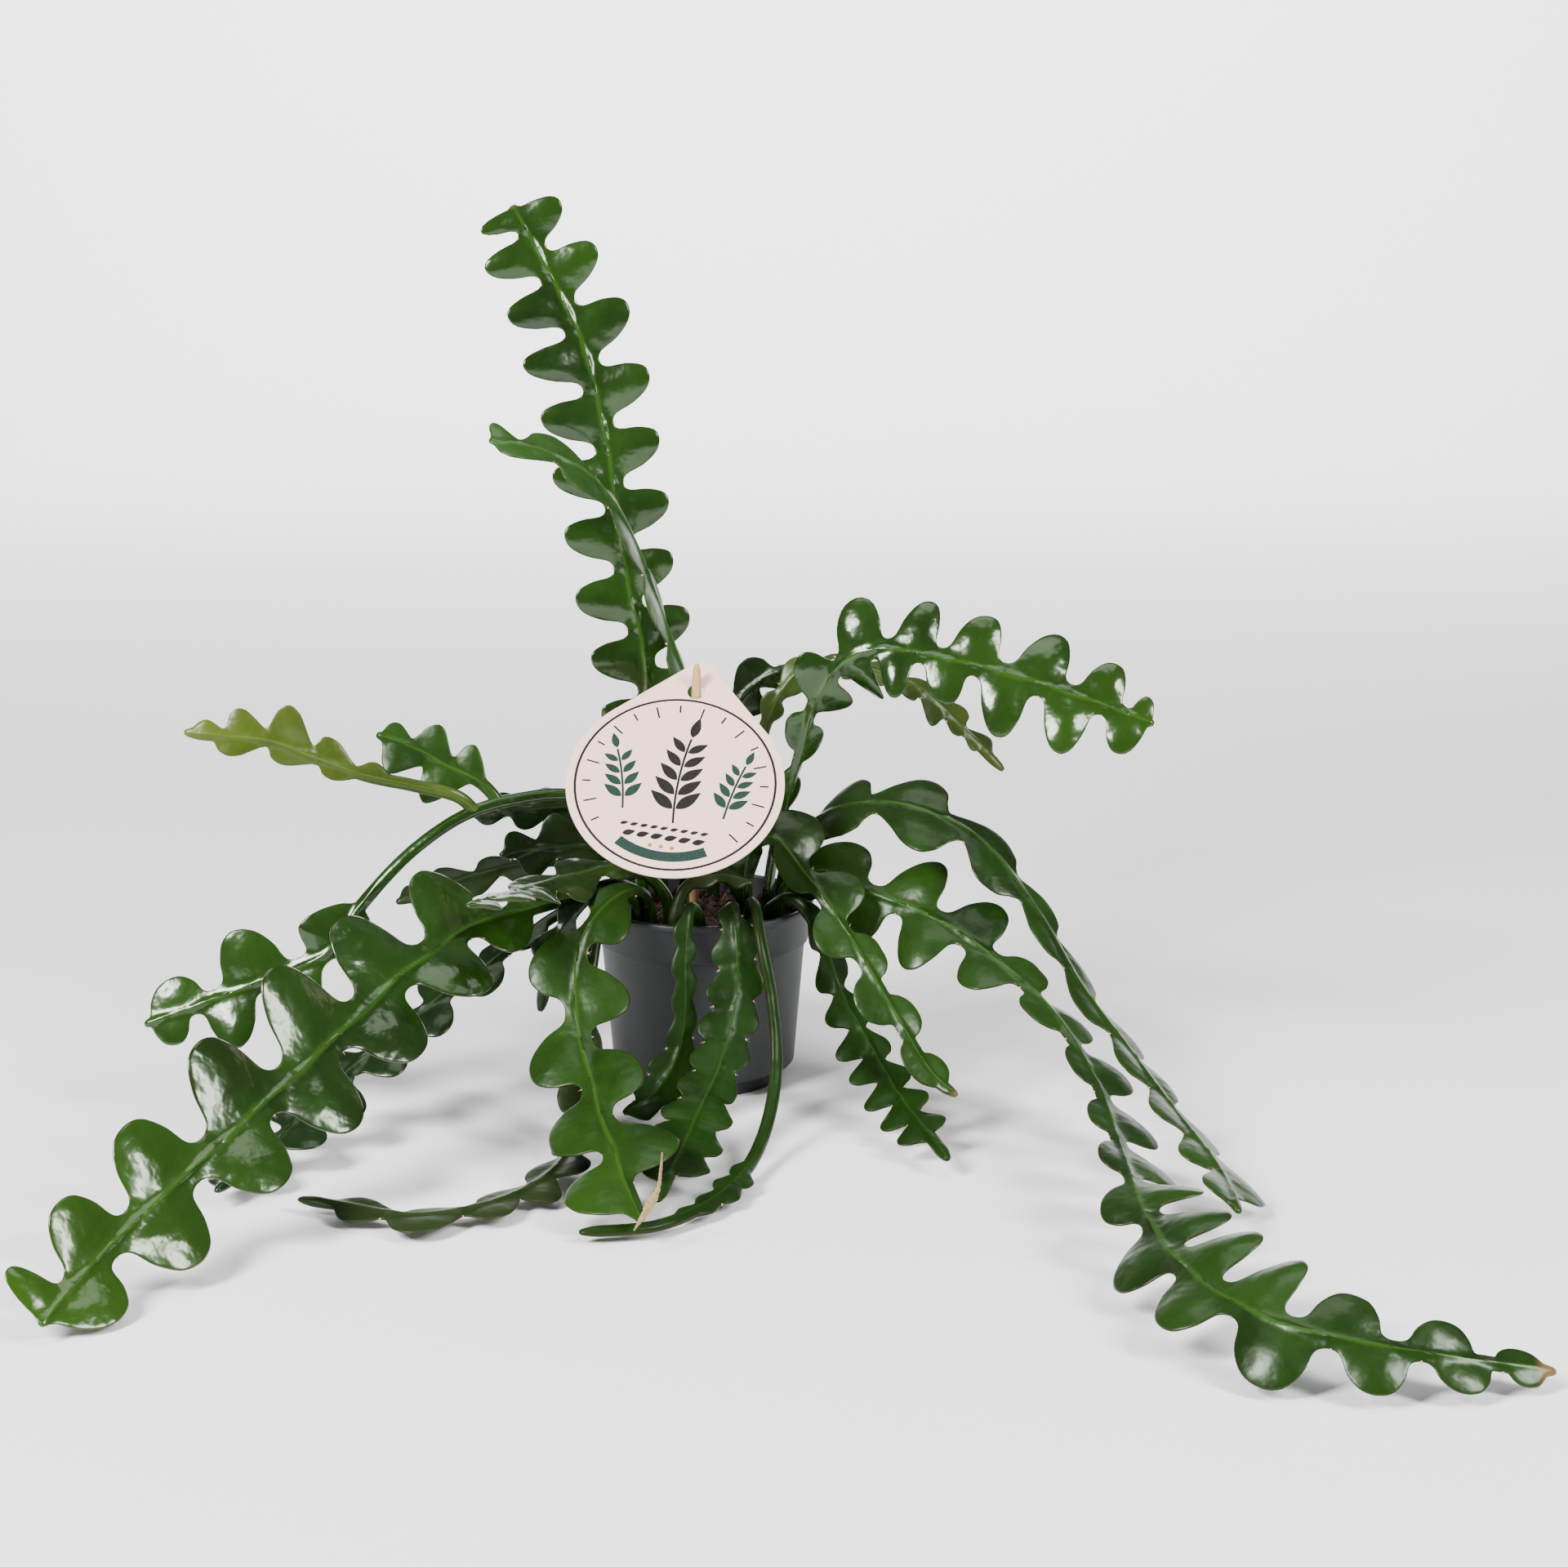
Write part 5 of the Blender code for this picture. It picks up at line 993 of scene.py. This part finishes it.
cardShape = {
    "radius": 49.8 * mm, "point": 68.3 * mm, "rounding": 5.0 * mm, "thickness": 0.8 * mm,
    "bevel": 0.12 * mm, "lean": math.radians(45), "turn": math.radians(10),
    "holeUp": 51.0 * mm, "holeRadius": 4.1 * mm, "holeAt": (-2.1 * mm, -18.4 * mm, 190.6 * mm),
    "print": 0.05 * mm, "ring": 46.2 * mm, "ringWidth": 1.1 * mm,
    # base, heading, length, pairs of leaves, leaf length and half width, bend
    "darkSprig": ((3 * mm, -21 * mm), 1.72, 46 * mm, 5, 14.3 * mm, 2.8 * mm, -0.3),
    "tealSprigs": [((-21 * mm, -17 * mm), 1.72, 32 * mm, 4, 10.5 * mm, 2.2 * mm, 0.25),
                   ((25 * mm, -15 * mm), 1.5, 30 * mm, 4, 10.0 * mm, 2.1 * mm, -0.2)],
    # how many, first across, pitch, height, leaf length and half width
    "leafRows": [(9, -20.5, 4.6, -25 * mm, 4.0 * mm, 0.9 * mm),
                 (6, -18.5, 6.4, -30 * mm, 6.2 * mm, 1.5 * mm)],
    "leafTilt": 0.35, "twig": 1.0 * mm,
    "rays": 24, "rayWidth": 0.8 * mm, "rayFrom": (38.5 * mm, 36.5 * mm), "rayTo": 42.5 * mm,
    "rayTurn": 0.13, "noRays": (3.9, 5.55),  # no rays where the band is
    "band": (41.5 * mm, 36.5 * mm), "bandFrom": 4.18, "bandTo": 5.26,
    "dots": (-5 * mm, 0, 5 * mm), "dotRadius": 1.0 * mm, "dotHeight": -34.0 * mm,
    "inks": {"dark": "#030303", "teal": "#052c23", "gold": "#9c7434"},
}
# Coated board: smooth and nearly matt, pale pink with a slight cloud. Its fibres are too fine
# to show and are drawn at 0.4 mm.
boardFinish = {
    "name": "coated board", "patterns": {"cloud": (9, 3, 0.5), "fibre": (0.4, 3, 0.5)},
    "colors": ["#f0c7b8", ("#f3d0c3", "cloud", 1)], "roughness": 0.55,
    "bumps": [("fibre", 0.02, 0.4)], "inputs": {"Specular IOR Level": 0.2},
}


# Printing ink on board: flat and matt, with a trace of the board showing through.
def makeInk(name, code):
    return makeFinish({
        "name": name, "patterns": {"wear": (0.5, 3, 0.5)},
        "colors": [code, ("#f3e3dd", "wear", 0.03)], "roughness": 0.7,
        "inputs": {"Specular IOR Level": 0.12},
    })


def cardMatrix():
    s = cardShape
    leaning = Vector((0, math.sin(s["lean"]), math.cos(s["lean"])))
    sideways = Vector((1, 0, 0))
    up = leaning * math.cos(s["turn"]) + sideways * math.sin(s["turn"])
    across = sideways * math.cos(s["turn"]) - leaning * math.sin(s["turn"])
    matrix = Matrix((across, up, across.cross(up))).transposed().to_4x4()
    matrix.translation = Vector(s["holeAt"]) - up * s["holeUp"]
    return matrix


def circlePoints(radius, centre=(0.0, 0.0), steps=72, start=0.0, end=fullTurn):
    count = steps if abs(end - start) > 6.28 else steps + 1
    return [polar(radius, start + (end - start) * k / steps, centre) for k in range(count)]


def cardOutline():
    s = cardShape
    tipCentre = s["point"] - s["rounding"]
    tangent = math.acos((s["radius"] - s["rounding"]) / tipCentre)
    up = math.pi / 2
    body = circlePoints(s["radius"], steps=120, start=up + tangent, end=5 * up - tangent)
    return body + circlePoints(s["rounding"], (0, tipCentre), 20, up - tangent, up + tangent)


# A flat plate bounded by outlines, on the card's middle plane raised by lift.
def flatShape(name, outlines, thickness, bevel=0.0, lift=0.0):
    curve = bpy.data.curves.new(name, "CURVE")
    curve.dimensions = "2D"
    curve.fill_mode = "BOTH"
    curve.extrude = thickness / 2 - bevel
    curve.bevel_depth = bevel
    curve.bevel_resolution = 2 if bevel else 0
    curve.offset = -bevel
    for outline in outlines:
        spline = curve.splines.new("POLY")
        spline.points.add(len(outline) - 1)
        for point, (x, y) in zip(spline.points, outline):
            point.co = (x, y, 0, 1)
        spline.use_cyclic_u = True
    guide = linkObject(name, curve)
    seen = guide.evaluated_get(bpy.context.evaluated_depsgraph_get())
    mesh = bpy.data.meshes.new_from_object(seen)
    bpy.data.objects.remove(guide)
    bm = bmesh.new()
    bm.from_mesh(mesh)
    bmesh.ops.remove_doubles(bm, verts=bm.verts, dist=0.001 * mm)
    outwardMesh(bm, mesh)
    mesh.transform(cardMatrix() @ Matrix.Translation((0, 0, lift)))
    mesh.materials.clear()
    return mesh


def leafOutline(base, angle, length, width):
    along, side = Vector(polar(1, angle)), Vector((-math.sin(angle), math.cos(angle)))
    points = []
    for sign, steps in ((1, range(13)), (-1, range(11, 0, -1))):
        for k in steps:
            t = k / 12
            reach = sign * width * math.sin(math.pi * t ** 0.8)
            points.append((Vector(base) + along * (t * length) + side * reach)[:])
    return points


def strokeOutline(points, width):
    left, right = [], []
    for k, point in enumerate(points):
        ahead = Vector(points[min(k + 1, len(points) - 1)]) - Vector(points[max(k - 1, 0)])
        side = Vector((-ahead.y, ahead.x)).normalized() * width / 2
        left.append((Vector(point) + side)[:])
        right.append((Vector(point) - side)[:])
    return left + right[::-1]


# A bent twig with pairs of leaves and one at its tip.
def sprigOutlines(base, angle, length, pairs, leafLength, leafWidth, bend):
    steps = 30
    twig = []
    spot, heading = Vector(base), angle
    for _ in range(steps + 1):
        twig.append(spot[:])
        spot = spot + Vector(polar(1, heading)) * length / steps
        heading += bend / steps
    outlines = [strokeOutline(twig, cardShape["twig"])]
    for k in range(pairs):
        index = steps * (k + 1) // (pairs + 1)
        facing = angle + bend * index / steps
        size = 1 - 0.35 * k / pairs
        away = Vector((-math.sin(facing), math.cos(facing)))
        for sign in (1, -1):
            start = Vector(twig[index]) + away * (sign * 0.75 * mm)
            turn = facing + sign * 0.85
            outlines.append(leafOutline(start, turn, leafLength * size, leafWidth * size))
    last = Vector(twig[-1]) + Vector(polar(1, heading)) * 0.8 * mm
    outlines.append(leafOutline(last, heading, leafLength * 0.8, leafWidth * 0.8))
    return outlines


def makePrints():
    s = cardShape
    dark = [circlePoints(s["ring"]), circlePoints(s["ring"] - s["ringWidth"])[::-1]]
    dark += sprigOutlines(*s["darkSprig"])
    for count, first, pitch, height, length, width in s["leafRows"]:
        for k in range(count):
            base = ((first + pitch * k) * mm, height)
            dark.append(leafOutline(base, s["leafTilt"], length, width))
    for k in range(s["rays"]):
        angle = fullTurn * k / s["rays"] + s["rayTurn"]
        if not s["noRays"][0] < angle < s["noRays"][1]:
            ends = [polar(r, angle) for r in (s["rayFrom"][k % 2], s["rayTo"])]
            dark.append(strokeOutline(ends, s["rayWidth"]))
    teal = [outline for sprig in s["tealSprigs"] for outline in sprigOutlines(*sprig)]
    band = circlePoints(s["band"][0], steps=36, start=s["bandFrom"], end=s["bandTo"])
    band += circlePoints(s["band"][1], steps=36, start=s["bandTo"], end=s["bandFrom"])
    gold = [circlePoints(s["dotRadius"], (x, s["dotHeight"]), 20) for x in s["dots"]]
    return {"dark": dark, "teal": teal + [band], "gold": gold}


hole = circlePoints(cardShape["holeRadius"], (0, cardShape["holeUp"]), 40)
board = flatShape(
    "label_card_board", [cardOutline(), hole], cardShape["thickness"], bevel=cardShape["bevel"])
placeObject("label_card_board", board, makeFinish(boardFinish), "label_card")
onFront = (cardShape["thickness"] + cardShape["print"]) / 2
for ink, outlines in makePrints().items():
    printMesh = flatShape("label_card_print_" + ink, outlines, cardShape["print"], lift=onFront)
    inkMaterial = makeInk("label card print " + ink, cardShape["inks"][ink])
    placeObject("label_card_print_" + ink, printMesh, inkMaterial)
print("label")

studio = {
    # name, place, aim, width, height, watts
    "lights": [
        ("softbox_left", (-1.25, -1.25, 1.45), (-0.05, -0.15, 0.1), 0.62, 0.78, 104.0),
        ("softbox_right", (1.35, -1.0, 1.25), (0.05, -0.15, 0.1), 0.5, 0.8, 50.0),
        ("softbox_top", (0.1, 0.2, 1.9), (0.0, -0.1, 0.0), 1.3, 0.9, 11.0),
        ("backdrop_light", (0.0, 1.9, 1.9), (0.0, 3.9, 0.35), 4.5, 0.8, 225.0),
    ],
    "world": 0.2, "floorNear": -4.0, "floorFar": 2.6, "bend": 1.2, "bendSteps": 24,
    "wallTop": 1.25, "halfWidth": 6.0, "floorDrop": 0.2 * mm,
    "cameraPlace": (0.0385, -1.4875, 0.481), "lookDown": 12.8, "lens": 74.25, "sensor": 36,
    "clipStart": 0.05,
}
# Seamless backdrop paper: pale and dead matt, so it takes soft shadows and mirrors nothing.
floorFinish = {
    "name": "pale studio floor", "colors": ["#fbfbfb"], "roughness": 0.9,
    "inputs": {"Specular IOR Level": 0.0},
}


# A floor that bends up into a wall behind the plant, so that no horizon shows.
def makeBackdrop():
    s = studio
    profile = [(s["floorNear"], -s["floorDrop"])]
    for k in range(s["bendSteps"] + 1):
        angle = math.pi / 2 * k / s["bendSteps"]
        height = s["bend"] * (1 - math.cos(angle)) - s["floorDrop"]
        profile.append((s["floorFar"] + s["bend"] * math.sin(angle), height))
    profile.append((s["floorFar"] + s["bend"], s["wallTop"]))
    points = [(x, y, z) for y, z in profile for x in (-s["halfWidth"], s["halfWidth"])]
    faces = [(2 * k, 2 * k + 1, 2 * k + 3, 2 * k + 2) for k in range(len(profile) - 1)]
    mesh = bpy.data.meshes.new("floor")
    mesh.from_pydata(points, [], faces)
    mesh.shade_smooth()
    mesh.materials.append(makeFinish(floorFinish))
    return linkObject("floor", mesh)


def makeStage():
    makeBackdrop()
    for name, position, aim, width, height, power in studio["lights"]:
        light = bpy.data.lights.new(name, "AREA")
        light.shape = "RECTANGLE"
        light.size, light.size_y = width, height
        light.energy = power
        obj = linkObject(name, light)
        obj.location = position
        obj.rotation_euler = (Vector(aim) - Vector(position)).to_track_quat("-Z", "Y").to_euler()
    world = bpy.data.worlds.new("studio")
    world.use_nodes = True
    background = {"Color": (1, 1, 1, 1), "Strength": studio["world"]}
    fillInputs(world.node_tree, world.node_tree.nodes["Background"], background)
    bpy.context.scene.world = world


def makeCamera():
    s = studio
    camera = bpy.data.cameras.new("camera")
    camera.lens, camera.sensor_width, camera.clip_start = s["lens"], s["sensor"], s["clipStart"]
    obj = linkObject("camera", camera)
    obj.location = s["cameraPlace"]
    obj.rotation_euler = (math.radians(90 - s["lookDown"]), 0, 0)
    bpy.context.scene.camera = obj


makeStage()
makeCamera()
print("stage")
